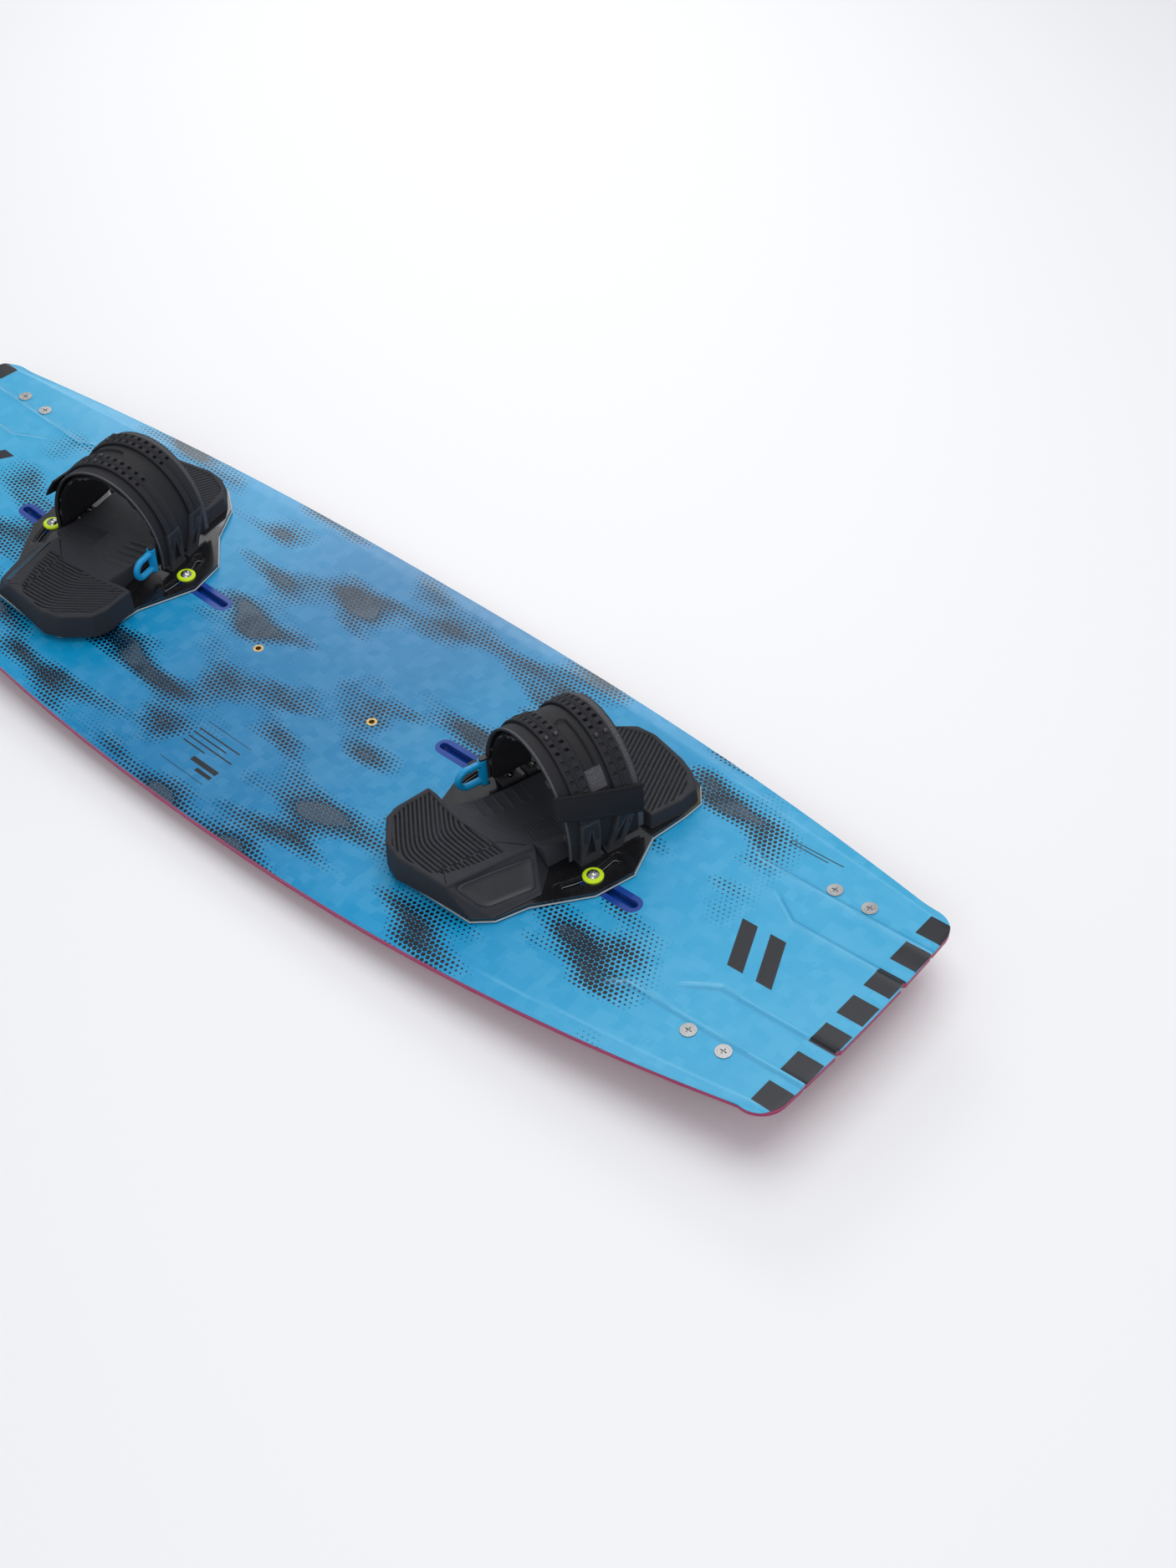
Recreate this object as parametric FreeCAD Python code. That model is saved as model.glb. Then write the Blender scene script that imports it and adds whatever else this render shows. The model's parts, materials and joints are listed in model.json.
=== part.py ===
import FreeCAD, Part

import math
import os

# Twin-tip kiteboard with two strap bindings and four fins, in millimetres.
# +X runs along the board to the rider's right, +Y to the toe side, +Z up.
# The origin is on the floor, midway between the four fin tips.

V = FreeCAD.Vector

# Board outline and thickness
board_length = 1380.0
board_width = 408.0
tip_width = 260.0        # width the sides would reach at the very tip
outline_power = 2.22     # how late the sides curve in
corner_run = 34.0        # length of the rounded tip corner along X
corner_inset = 26.0      # how far the corner comes in from the side along Y
corner_bulge_x = 0.32    # where the corner's middle point lies, as shares of its run and inset
corner_bulge_y = 0.26
tip_crown = 3.0          # how far the tip edge bows out at the middle
rocker = 35.0            # rise of the deck from the middle to the tip
middle_thickness = 10.5
tip_thickness = 7.5
laminate_thickness = 1.2
base_sheet_thickness = 1.5
rail_width = 12.0

# Ridges over the tail channels, and the notches where they leave the tip
ridge_height = 1.2
ridge_width = 5.0
channel_depth = 0.8
notch_radius = 5.0
notch_depth = 2.5
outer_ridge_start = (481.0, 107.0)
outer_ridge_bend = (502.0, 94.0)
outer_ridge_y = 91.0
inner_ridge_start = (532.0, 71.5)
inner_ridge_bend = (569.0, 48.5)
inner_ridge_y = 47.0

# Grab handle inserts, M6
handle_spacing = 170.0
handle_insert_radius = 5.5
handle_insert_height = 8.0
handle_thread_radius = 3.0
handle_thread_depth = 7.0

# Fins and their screws
fin_x = 595.7
fin_y = 103.5
fin_depth = 45.0
fin_front_run = 44.0
fin_rear_run = 40.0
fin_flat_front = 8.0
fin_flat_rear = 20.0
fin_thickness = 5.0
fin_front_sweep = (0.58, 0.40)  # middle of the front edge, as shares of the front run and the depth
fin_rear_sweep = (0.86, 0.36)   # middle of the rear edge, likewise
fin_foot_width = 13.0
fin_foot_height = 12.0
fin_screw_spacing = 37.4
fin_screw_radius = 3.0
fin_head_radius = 5.3
fin_head_height = 2.6
fin_washer_radius = 7.5
fin_washer_proud = 0.5
fin_washer_sunk = 1.6
fin_insert_radius = 4.2
fin_cross_width = 1.3
fin_cross_depth = 1.2
fin_cross_share = 0.62   # cross arm as a share of the head radius
fin_insert_length = 9.0

# Stance: where each binding stands and how it is clamped down
stance_half = 312.0
duck_angle = 14.0
clamp_radius = 90.0      # from the swivel centre to each binding screw
track_length = 116.0
track_slot_width = 9.0
track_wall = 4.0
track_cavity_width = 13.0
track_depth = 6.8
track_floor = 0.5
track_lip = 2.6
track_shift = 6.0        # tracks lie nearer to the middle of the board than the screws
nut_length = 20.0
nut_clearance = 0.3
screw_radius = 3.0
screw_head_radius = 6.2
screw_head_height = 3.4
screw_cross_width = 1.5
screw_cross_depth = 2.0
screw_cross_share = 0.45
clamp_washer_radius = 10.0
clamp_washer_thickness = 2.75
clamp_washer_bevel = 1.4
clamp_washer_wall = 0.6  # share of its thickness below the bevel
clamp_gap = 0.15

# Base plate and gasket
plate_lift = 1.6         # keeps the flat gasket clear of the curved deck
gasket_thickness = 1.2
gasket_margin = 0.8
plate_thickness = 3.5
swivel_slot_width = 7.4
swivel_slot_half_angle = 18.0
swivel_recess_width = 14.0
swivel_recess_half_angle = 21.0
swivel_recess_depth = 0.8
lug_reach = 108.0

# Pads
pad_heel_end = -142.0
pad_toe_end = 153.0
heel_pad_height = 28.0
footbed_height = 13.5
toe_pad_height = 15.0
toe_pad_draft = 0.95
heel_recess = 1.5
heel_recess_scale = 0.84
panel_proud = 0.4
panel_sunk = 1.2
footbed_inner_gap = 16.0
footbed_outer_gap = 4.0
bed_turn = 23.3          # the slope runs square to the toe edge of the heel pad
pad_joint_gap = 0.4

# Strap: four layers that follow one arch
strap_front = -14.0
strap_rear = 74.0
liner_half_span = 68.0
liner_height = 112.0
liner_thickness = 8.0
liner_foot = 16.0
spring_height = 30.0     # above this height the arch is a half ellipse
shell_thickness = 2.5
shell_inset = 2.0
window_front = 24.0
window_rear = 36.0
window_high_angle = -2.0
window_low_angle = 42.0
ladder_thickness = 3.5
ladder_width = 20.0
front_ladder_y = 12.0
rear_ladder_y = 54.0
ladder_end = 52.0        # height where the ladders end and the legs start
hole_pitch_angle = 7.0
hole_first_angle = -31.0
hole_last_angle = 53.0
hole_size = 3.6
column_half_spacing = 5.0
front_peg_angle = 11.0
rear_peg_angle = 25.0
peg_radius = 2.0
peg_clearance = 0.3
peg_proud = 2.6
tab_reach = 16.0
tab_thickness = 3.2
bolt_inset = 10.0
bolt_radius = 2.0
bolt_head_radius = 3.8
bolt_head_height = 2.5
bolt_socket_width = 2.6
bolt_socket_depth = 1.4
band_clearance = 0.5
band_thickness = 2.7

# Pull loop on the inner side of the strap
loop_inset = 4.0
loop_height = 33.0
loop_radius = 10.0
loop_tube_radius = 3.5
loop_reach = 17.0
loop_pin_offset = 5.0
loop_pin_radius = 2.0
loop_barrel_radius = 4.5
loop_barrel_margin = 0.8  # how far the barrel runs past the tube
loop_clearance = 0.2
loop_lug_thickness = 2.2
loop_cap_margin = 1.0

# Worked out from the above
half_length = board_length / 2
half_width = board_width / 2
deck_radius = (half_length ** 2 + rocker ** 2) / (2 * rocker)
base_rocker = rocker + middle_thickness - tip_thickness
base_radius = (half_length ** 2 + base_rocker ** 2) / (2 * base_rocker)
base_middle = fin_depth - (base_radius - math.sqrt(base_radius ** 2 - fin_x ** 2))
deck_middle = base_middle + middle_thickness
plate_bottom = plate_lift + gasket_thickness
plate_top = plate_bottom + plate_thickness
tall = 400.0             # longer than any cut has to be

parts = {}


def deck_z(x):
    return deck_middle + deck_radius - math.sqrt(deck_radius ** 2 - x ** 2)


def deck_slope(x):
    return math.degrees(math.asin(x / deck_radius))


def side_y(x, inset):
    """Half width of the board at x, drawn in by an inset."""
    share = (abs(x) / half_length) ** outline_power
    return half_width - (half_width - tip_width / 2) * share - inset


def line(a, b):
    return Part.LineSegment(a, b).toShape()


def arc(a, b, c):
    return Part.Arc(a, b, c).toShape()


def polygon(points, z=0.0):
    corners = [V(x, y, z) for x, y in points]
    return Part.makePolygon(corners + corners[:1])


def prism(points, low, high):
    return Part.Face(polygon(points, low)).extrude(V(0, 0, high - low))


def rounded_slot(length, width, low, high):
    """Round-ended bar along X, centred on the Z axis."""
    half = length / 2 - width / 2
    r = width / 2
    edges = [
        line(V(-half, -r, low), V(half, -r, low)),
        arc(V(half, -r, low), V(half + r, 0, low), V(half, r, low)),
        line(V(half, r, low), V(-half, r, low)),
        arc(V(-half, r, low), V(-half - r, 0, low), V(-half, -r, low)),
    ]
    return Part.Face(Part.Wire(edges)).extrude(V(0, 0, high - low))


def mirrored(shape):
    """The same piece on the other half of the board."""
    return shape.mirror(V(0, 0, 0), V(1, 0, 0))


def fuse_all(shapes):
    return shapes[0].fuse(shapes[1:]).removeSplitter() if len(shapes) > 1 else shapes[0]


# Board

def board_prism(inset):
    """Plan outline of the board as a tall prism: two curved sides, four round corners, two tip edges."""
    end = half_length - inset
    start = end - corner_run
    side_xs = [start * k / 4 for k in range(-4, 5)]
    sides = []
    for sign in (-1, 1):
        curve = Part.BSplineCurve()
        curve.interpolate([V(x, sign * side_y(x, inset), 0) for x in side_xs])
        sides.append(curve.toShape())
    edges = list(sides)
    tip_y = side_y(start, inset) - corner_inset
    for sx in (-1, 1):
        for sy in (-1, 1):
            side_point = V(sx * start, sy * side_y(start, inset), 0)
            tip_point = V(sx * (end - tip_crown), sy * tip_y, 0)
            bulge_y = side_y(start, inset) - corner_inset * corner_bulge_y
            bulge = V(sx * (end - corner_run * corner_bulge_x), sy * bulge_y, 0)
            edges.append(arc(side_point, bulge, tip_point))
        edges.append(arc(V(sx * (end - tip_crown), -tip_y, 0), V(sx * end, 0, 0), V(sx * (end - tip_crown), tip_y, 0)))
    wire = Part.Wire(Part.__sortEdges__(edges))
    return Part.Face(wire).extrude(V(0, 0, tall))


def surface_edge(middle_z, radius):
    """Arc in the XZ plane that carries a rockered surface, run a little past both tips."""
    end = half_length * 1.02
    end_z = middle_z + radius - math.sqrt(radius ** 2 - end ** 2)
    return arc(V(-end, -half_width, end_z), V(0, -half_width, middle_z), V(end, -half_width, end_z))


def layer(low_z, low_radius, high_z, high_radius):
    """Slab between two rockered surfaces, wider and longer than the board."""
    low = surface_edge(low_z, low_radius)
    high = surface_edge(high_z, high_radius)
    ends = [line(low.Vertexes[k].Point, high.Vertexes[k].Point) for k in (0, 1)]
    face = Part.Face(Part.Wire(Part.__sortEdges__([low, high] + ends)))
    return face.extrude(V(0, board_width, 0))


def strip(points, width):
    """Tall wall along a line of straight runs, seen in plan."""
    walls = []
    for (ax, ay), (bx, by) in zip(points, points[1:]):
        run = math.hypot(bx - ax, by - ay)
        wall = Part.makeBox(run + width, width, tall, V(-width / 2, -width / 2, 0))
        wall.rotate(V(0, 0, 0), V(0, 0, 1), math.degrees(math.atan2(by - ay, bx - ax)))
        wall.translate(V(ax, ay, 0))
        walls.append(wall)
    return fuse_all(walls)


def ridges():
    """Walls over all eight ridge lines of both tails."""
    walls = []
    outer = [outer_ridge_start, outer_ridge_bend, (half_length, outer_ridge_y)]
    inner = [inner_ridge_start, inner_ridge_bend, (half_length, inner_ridge_y)]
    for points in (outer, inner):
        for sx in (-1, 1):
            for sy in (-1, 1):
                walls.append(strip([(sx * x, sy * y) for x, y in points], ridge_width))
    return Part.makeCompound(walls)


def tip_notches():
    cutters = []
    for sx in (-1, 1):
        for y in (-outer_ridge_y, -inner_ridge_y, inner_ridge_y, outer_ridge_y):
            x = sx * (half_length - notch_depth + notch_radius)
            cutters.append(Part.makeCylinder(notch_radius, tall, V(x, y, 0)))
    return Part.makeCompound(cutters)


outline = board_prism(0.0).cut(tip_notches())
core_outline = board_prism(rail_width)
laminate_bottom = deck_middle - laminate_thickness
sheet_top = base_middle + base_sheet_thickness
ridge_walls = ridges()

top_laminate = outline.common(layer(laminate_bottom, deck_radius, deck_middle, deck_radius))
ridge_layer = layer(deck_middle - laminate_thickness / 2, deck_radius, deck_middle + ridge_height, deck_radius)
top_laminate = top_laminate.fuse(outline.common(ridge_layer).common(ridge_walls)).removeSplitter()
base_sheet = outline.common(layer(base_middle, base_radius, sheet_top, base_radius))
channel_layer = layer(base_middle - channel_depth, base_radius, base_middle + channel_depth, base_radius)
base_sheet = base_sheet.cut(channel_layer.common(ridge_walls))
middle_layer = layer(sheet_top, base_radius, laminate_bottom, deck_radius)
wood_core = core_outline.common(middle_layer)
edge_rail = outline.cut(core_outline).common(middle_layer)
below_deck = layer(base_middle, base_radius, deck_middle, deck_radius)


def cut_board(tool):
    """Takes the same hole out of every board layer that it passes through."""
    global top_laminate, wood_core, base_sheet
    top_laminate = top_laminate.cut(tool)
    wood_core = wood_core.cut(tool)
    base_sheet = base_sheet.cut(tool)


# Grab handle inserts
handle_inserts = []
for x in (-handle_spacing / 2, handle_spacing / 2):
    foot = V(x, 0, deck_z(x) - handle_insert_height)
    body = Part.makeCylinder(handle_insert_radius, handle_insert_height * 2, foot)
    cut_board(body)
    thread_foot = V(x, 0, deck_z(x) - handle_thread_depth)
    thread = Part.makeCylinder(handle_thread_radius, handle_thread_depth * 2, thread_foot)
    handle_inserts.append(body.common(below_deck).cut(thread))
parts["handle_inserts"] = Part.makeCompound(handle_inserts)


def cross_recess(arm, width, depth, top):
    """Cutter for a cross drive whose floor lies depth below top."""
    cross = Part.makeBox(2 * arm, width, 2 * depth, V(-arm, -width / 2, top - depth))
    return cross.fuse(Part.makeBox(width, 2 * arm, 2 * depth, V(-width / 2, -arm, top - depth)))


# Fins and fin hardware, made once for the right toe side

def fin_frame():
    """Placement with its origin on the deck over the fin and its Z normal to the deck."""
    rotation = FreeCAD.Rotation(V(0, 1, 0), -deck_slope(fin_x))
    return FreeCAD.Placement(V(fin_x, fin_y, deck_z(fin_x)), rotation)


def placed(shape, placement):
    moved = shape.copy()
    moved.transformShape(placement.toMatrix(), True)
    return moved


def fin_screw_solids():
    """Screw, cup washer and insert of one fin bolt, on its own Z axis with the deck at zero."""
    head_top = fin_washer_proud
    neck = head_top - fin_head_height
    screw_end = -middle_thickness - fin_insert_length + 1.0
    head = Part.makeCone(fin_screw_radius, fin_head_radius, fin_head_height, V(0, 0, neck))
    shank = Part.makeCylinder(fin_screw_radius, neck - screw_end, V(0, 0, screw_end))
    washer = Part.makeCylinder(fin_washer_radius, fin_washer_sunk + fin_washer_proud, V(0, 0, -fin_washer_sunk))
    washer = washer.cut(head).cut(shank)
    cross = cross_recess(fin_head_radius * fin_cross_share, fin_cross_width, fin_cross_depth, head_top)
    insert = Part.makeCylinder(fin_insert_radius, fin_insert_length + middle_thickness, V(0, 0, screw_end - 0.5))
    bore = shank.fuse([head, Part.makeCylinder(fin_washer_radius, tall / 8, V(0, 0, -fin_washer_sunk))])
    return head.fuse(shank).removeSplitter().cut(cross), washer, insert, shank, bore


def fin_blade():
    """Fin with a swept front edge, a steeper rear edge and a flat foot on the floor."""
    top = fin_depth + 8.0
    front = fin_x - fin_front_run
    rear = fin_x + fin_rear_run
    flat_front = V(fin_x - fin_flat_front, 0, 0)
    flat_rear = V(fin_x + fin_flat_rear, 0, 0)
    front_mid = V(fin_x - fin_front_run * fin_front_sweep[0], 0, fin_depth * fin_front_sweep[1])
    rear_mid = V(fin_x + fin_rear_run * fin_rear_sweep[0], 0, fin_depth * fin_rear_sweep[1])
    edges = [
        arc(V(front, 0, top), front_mid, flat_front),
        line(flat_front, flat_rear),
        arc(flat_rear, rear_mid, V(rear, 0, top)),
        line(V(rear, 0, top), V(front, 0, top)),
    ]
    blade = Part.Face(Part.Wire(edges)).extrude(V(0, fin_thickness, 0))
    blade.translate(V(0, fin_y - fin_thickness / 2, 0))
    foot = rounded_slot(fin_front_run + fin_rear_run, fin_foot_width, 0, fin_foot_height + 20.0)
    foot.translate(V(fin_x + (fin_rear_run - fin_front_run) / 2, fin_y, fin_depth - fin_foot_height))
    under_board = layer(base_middle - tall / 2, base_radius, base_middle, base_radius)
    return blade.fuse(foot).common(under_board).removeSplitter()


screw, washer, insert_blank, shank, board_bore = fin_screw_solids()
fin = fin_blade()
fin_screws = []
fin_washers = []
fin_inserts = []
bolt_bores = []
for offset in (-fin_screw_spacing / 2, fin_screw_spacing / 2):
    place = fin_frame().multiply(FreeCAD.Placement(V(offset, 0, 0), FreeCAD.Rotation()))
    socket = placed(insert_blank, place)
    fin_inserts.append(socket.common(fin).cut(placed(shank, place)))
    fin = fin.cut(socket)
    fin_screws.append(placed(screw, place))
    fin_washers.append(placed(washer, place))
    bolt_bores.append(placed(board_bore, place))

four_fins = {"right_toe_fin": (1, 1), "right_heel_fin": (1, -1), "left_toe_fin": (-1, 1), "left_heel_fin": (-1, -1)}
hardware = {"fin_screws": fin_screws, "fin_washers": fin_washers, "fin_inserts": fin_inserts}
hardware_solids = {name: [] for name in hardware}


def quarter(shape, sx, sy):
    """Copy of a right toe side piece on another quarter of the board."""
    out = shape.copy()
    if sx < 0:
        out = out.mirror(V(0, 0, 0), V(1, 0, 0))
    if sy < 0:
        out = out.mirror(V(0, 0, 0), V(0, 1, 0))
    return out


for name, (sx, sy) in four_fins.items():
    parts[name] = quarter(fin, sx, sy)
    for group, shapes in hardware.items():
        hardware_solids[group] += [quarter(s, sx, sy) for s in shapes]
    for bore in bolt_bores:
        cut_board(quarter(bore, sx, sy))
for group, solids in hardware_solids.items():
    parts[group] = Part.makeCompound(solids)


# Stance frames: the track frame lies on the deck under the right binding, and the
# plate frame is turned from it by the duck angle, with +X outboard and +Y to the toes.
track_frame = FreeCAD.Placement(
    V(stance_half, 0, deck_z(stance_half)), FreeCAD.Rotation(V(0, 1, 0), -deck_slope(stance_half))
)
plate_frame = track_frame.multiply(FreeCAD.Placement(V(0, 0, 0), FreeCAD.Rotation(V(0, 0, 1), -duck_angle)))


def screw_spot(side):
    """Centre of a binding screw in the track frame: side 1 is outboard, -1 inboard."""
    angle = math.radians(duck_angle)
    return V(side * clamp_radius * math.cos(angle), -side * clamp_radius * math.sin(angle), 0)


def track_solids(side):
    """Housing of one insert track and the blank that it takes out of the board."""
    spot = screw_spot(side)
    centre = V(spot.x - track_shift, spot.y, 0)
    outer_width = track_cavity_width + 2 * track_wall
    outer_length = track_length + 2 * track_wall
    blank = rounded_slot(outer_length, outer_width, -track_depth, tall / 8)
    slot = rounded_slot(track_length, track_slot_width, -track_lip - 0.5, tall / 8)
    cavity = rounded_slot(track_length, track_cavity_width, track_floor - track_depth, -track_lip)
    housing = blank.cut(slot).cut(cavity)
    blank.translate(centre)
    housing.translate(centre)
    return placed(housing, track_frame).common(below_deck), placed(blank, track_frame)


for side, label in ((1, "outer"), (-1, "inner")):
    housing, blank = track_solids(side)
    cut_board(blank)
    cut_board(mirrored(blank))
    parts["right_" + label + "_track"] = housing
    parts["left_" + label + "_track"] = mirrored(housing)

parts["top_laminate"] = top_laminate
parts["wood_core"] = wood_core
parts["edge_rail"] = edge_rail
parts["base_sheet"] = base_sheet


# Clamp: screw, toothed washer and sliding nut at each end of the plate

def clamp_solids(side):
    spot = screw_spot(side)
    washer_low = plate_top + clamp_gap
    washer_top = washer_low + clamp_washer_thickness
    nut_low = track_floor - track_depth + nut_clearance
    nut_top = -track_lip - nut_clearance
    bore = Part.makeCylinder(screw_radius, washer_top - nut_low, V(0, 0, nut_low))
    head_sphere_radius = (screw_head_radius ** 2 + screw_head_height ** 2) / (2 * screw_head_height)
    dome = Part.makeSphere(head_sphere_radius, V(0, 0, washer_top + screw_head_height - head_sphere_radius))
    head = Part.makeCylinder(screw_head_radius, screw_head_height, V(0, 0, washer_top)).common(dome)
    cross_top = washer_top + screw_head_height
    cross = cross_recess(screw_head_radius * screw_cross_share, screw_cross_width, screw_cross_depth, cross_top)
    screw_solid = head.fuse(bore).removeSplitter().cut(cross)
    wall = clamp_washer_thickness * clamp_washer_wall
    low_ring = Part.makeCylinder(clamp_washer_radius, wall, V(0, 0, washer_low))
    top_ring = Part.makeCone(
        clamp_washer_radius, clamp_washer_radius - clamp_washer_bevel, clamp_washer_thickness - wall,
        V(0, 0, washer_low + wall),
    )
    washer_solid = low_ring.fuse(top_ring).removeSplitter().cut(bore)
    nut_width = track_cavity_width - 2 * nut_clearance
    nut = rounded_slot(nut_length, nut_width, nut_low, nut_top).cut(bore)
    solids = []
    for solid in (screw_solid, washer_solid, nut):
        solid.translate(spot)
        solids.append(placed(solid, track_frame))
    return solids


clamp_pairs = zip(*(clamp_solids(side) for side in (1, -1)))
for label, pair in zip(("binding_screws", "clamp_washers", "track_nuts"), clamp_pairs):
    parts["right_" + label] = Part.makeCompound(list(pair))
    parts["left_" + label] = Part.makeCompound([mirrored(s) for s in pair])


# Binding pieces, in the plate frame

lug_front = 33.0
lug_rear = -10.0
waist_toe = 74.0
waist_heel = -66.0
plate_outline = [
    (-30, pad_heel_end + 3), (-62, -118), (-75, waist_heel), (-lug_reach, lug_rear), (-lug_reach, lug_front),
    (-80, waist_toe), (-66, 118), (-42, pad_toe_end - 7), (-20, pad_toe_end), (26, pad_toe_end),
    (52, pad_toe_end - 3), (70, 137), (75, 115), (80, waist_toe), (lug_reach, lug_front),
    (lug_reach, lug_rear), (84, waist_heel), (80, -99), (67, -118), (-14, pad_heel_end + 2),
]
# The heel pad runs from heel_outline on the plate to heel_top; corner k of one stands over
# corner k of the other. Corners 7 and 8 end the wide outer flank.
heel_outline = [
    (-36, pad_heel_end - 1), (-66, -125), (-73, -110), (-76, -71), (-64, -64), (-42, -62), (58, -27),
    (81, -50), (79, -101), (68, -118), (-16, -146.5),
]
heel_top = [
    (-36, -141.5), (-65, -124), (-71.5, -110), (-75.5, -72), (-64, -70), (-42, -70), (44, -33),
    (48.6, -34), (45, -126), (43, -127), (-14, -143),
]
panel_shares = [(0.09, 0.22), (0.95, 0.14), (0.97, 0.80), (0.55, 0.88), (0.10, 0.93), (0.03, 0.88), (0.03, 0.31)]
bed_slope = [(-20, 28), (2, 26.2), (20, 20.7), (40, 15.9), (60, 13.8), (100, 13.5), (190, 13.5)]
liner_inner = liner_half_span - liner_thickness
footbed_inner = footbed_inner_gap - liner_inner
footbed_outer = liner_inner - footbed_outer_gap
toe_outline = [
    (footbed_outer, 76.0), (73, 78.0), (74, 114), (69, 135), (49, 147), (26, pad_toe_end - 2),
    (-20, pad_toe_end - 2), (-42, 144), (-63, 116), (-60, 76.0),
]


def swivel_arc(width, half_angle, low, high):
    """Curved slots on both sides of the plate, concentric with the swivel."""
    ring = Part.makeCylinder(clamp_radius + width / 2, high - low, V(0, 0, low))
    ring = ring.cut(Part.makeCylinder(clamp_radius - width / 2, high - low, V(0, 0, low)))
    cutters = []
    for side in (0, 180):
        reach = clamp_radius * 2
        angle = math.radians(half_angle)
        wedge = prism([(0, 0), (reach, -reach * math.tan(angle)), (reach, reach * math.tan(angle))], low, high)
        cutter = ring.common(wedge)
        for sign in (-1, 1):
            end = V(clamp_radius * math.cos(angle), sign * clamp_radius * math.sin(angle), low)
            cutter = cutter.fuse(Part.makeCylinder(width / 2, high - low, end))
        cutter.rotate(V(0, 0, 0), V(0, 0, 1), side)
        cutters.append(cutter)
    return Part.makeCompound(cutters)


def tapered_pad(points, low, high, draft):
    """Pad whose side walls lean in towards its top."""
    cx = sum(x for x, y in points) / len(points)
    cy = sum(y for x, y in points) / len(points)
    top = [(cx + (x - cx) * draft, cy + (y - cy) * draft) for x, y in points]
    return Part.makeLoft([polygon(points, low), polygon(top, high)], True, True)


def quarter_ellipse(a, b, centre_z, side):
    """Exact quarter of an ellipse in the XZ plane, from the side up to the crown."""
    curve = Part.BezierCurve()
    curve.setPoles([V(side * a, 0, centre_z), V(side * a, 0, centre_z + b), V(0, 0, centre_z + b)])
    curve.setWeight(2, math.sqrt(0.5))
    return curve.toShape()


def arch_solid(half_span, height, thickness, foot, front, rear):
    """Arch-shaped sleeve across the foot: straight legs up to the spring line, then a half ellipse."""
    edges = []
    for inset in (0.0, thickness):
        a = half_span - inset
        b = height - spring_height - inset
        for side in (-1, 1):
            edges.append(quarter_ellipse(a, b, spring_height, side))
            edges.append(line(V(side * a, 0, foot), V(side * a, 0, spring_height)))
    for side in (-1, 1):
        edges.append(line(V(side * (half_span - thickness), 0, foot), V(side * half_span, 0, foot)))
    face = Part.Face(Part.Wire(Part.__sortEdges__(edges)))
    sleeve = face.extrude(V(0, rear - front, 0))
    sleeve.translate(V(0, front, 0))
    return sleeve


def side_prism(points, side):
    """Prism across one side of the strap, from its outline in the YZ plane."""
    corners = [V(0, y, z) for y, z in points]
    face = Part.Face(Part.makePolygon(corners + corners[:1]))
    return face.extrude(V(side * tall / 2, 0, 0))


def on_arch(half_span, height, angle, y, solid):
    """Puts a solid made on the Z axis onto the arch, angle degrees from the crown towards +X."""
    t = math.radians(angle)
    a = half_span
    b = height - spring_height
    normal = V(math.sin(t) / a, 0, math.cos(t) / b)
    lean = math.degrees(math.atan2(normal.x, normal.z))
    spot = V(a * math.sin(t), y, spring_height + b * math.cos(t))
    return placed(solid, FreeCAD.Placement(spot, FreeCAD.Rotation(V(0, 1, 0), lean)))


shell_half_span = liner_half_span + shell_thickness
shell_height = liner_height + shell_thickness
ladder_half_span = shell_half_span + ladder_thickness
ladder_height = shell_height + ladder_thickness
tab_inner = ladder_half_span - tab_reach
bolt_x = ladder_half_span - bolt_inset
loop_x = loop_inset - liner_half_span
band_half_span = ladder_half_span + band_clearance + band_thickness
band_height = ladder_height + band_clearance + band_thickness
bed_top = plate_top + footbed_height
binding = {}

# Plate and gasket
leg_spots = {
    "front_leg": [(front_ladder_y - 10, ladder_end), (front_ladder_y + 10, ladder_end), (20, plate_top), (-2, plate_top)],
    "rear_leg": [(rear_ladder_y - 10, ladder_end), (rear_ladder_y + 10, ladder_end), (44, plate_top), (27, plate_top)],
}
leg_notches = {
    "front_leg": [(12, 44), (15, 16), (4, 16)],
    "rear_leg": [(53, 44), (42, 16), (35, 16)],
}
bolt_ys = {"front_leg": 9.0, "rear_leg": 35.5}

plate = prism(plate_outline, plate_bottom, plate_top)
plate = plate.cut(swivel_arc(swivel_slot_width, swivel_slot_half_angle, plate_bottom - 1, plate_top + 1))
recess_low = plate_top - swivel_recess_depth
plate = plate.cut(swivel_arc(swivel_recess_width, swivel_recess_half_angle, recess_low, plate_top + 1))
for y in bolt_ys.values():
    for side in (-1, 1):
        plate = plate.cut(Part.makeCylinder(bolt_radius, plate_thickness * 2, V(side * bolt_x, y, plate_bottom)))
gasket_wire = polygon(plate_outline, plate_lift).makeOffset2D(gasket_margin)
gasket = Part.Face(gasket_wire).extrude(V(0, 0, gasket_thickness))
gasket = gasket.cut(swivel_arc(swivel_slot_width, swivel_slot_half_angle, plate_lift - 1, plate_bottom + 1))
binding["base_plate"] = plate
binding["plate_gasket"] = gasket

# Heel pad with a sunk top and a side panel let into its outer flank
heel_top_z = plate_top + heel_pad_height
heel_pad = Part.makeLoft([polygon(heel_outline, plate_top), polygon(heel_top, heel_top_z)], True, True)
centre_x = sum(x for x, y in heel_top) / len(heel_top)
centre_y = sum(y for x, y in heel_top) / len(heel_top)
sunk = [
    (centre_x + (x - centre_x) * heel_recess_scale, centre_y + (y - centre_y) * heel_recess_scale)
    for x, y in heel_top
]
heel_pad = heel_pad.cut(prism(sunk, heel_top_z - heel_recess, heel_top_z + 1))


def flank_point(along, up):
    """Point on the outer flank of the heel pad, given as shares of its length and height."""
    low_a = V(*heel_outline[8], plate_top)
    low_b = V(*heel_outline[7], plate_top)
    high_a = V(*heel_top[8], heel_top_z)
    high_b = V(*heel_top[7], heel_top_z)
    low = low_a + (low_b - low_a) * along
    high = high_a + (high_b - high_a) * along
    return low + (high - low) * up


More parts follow.
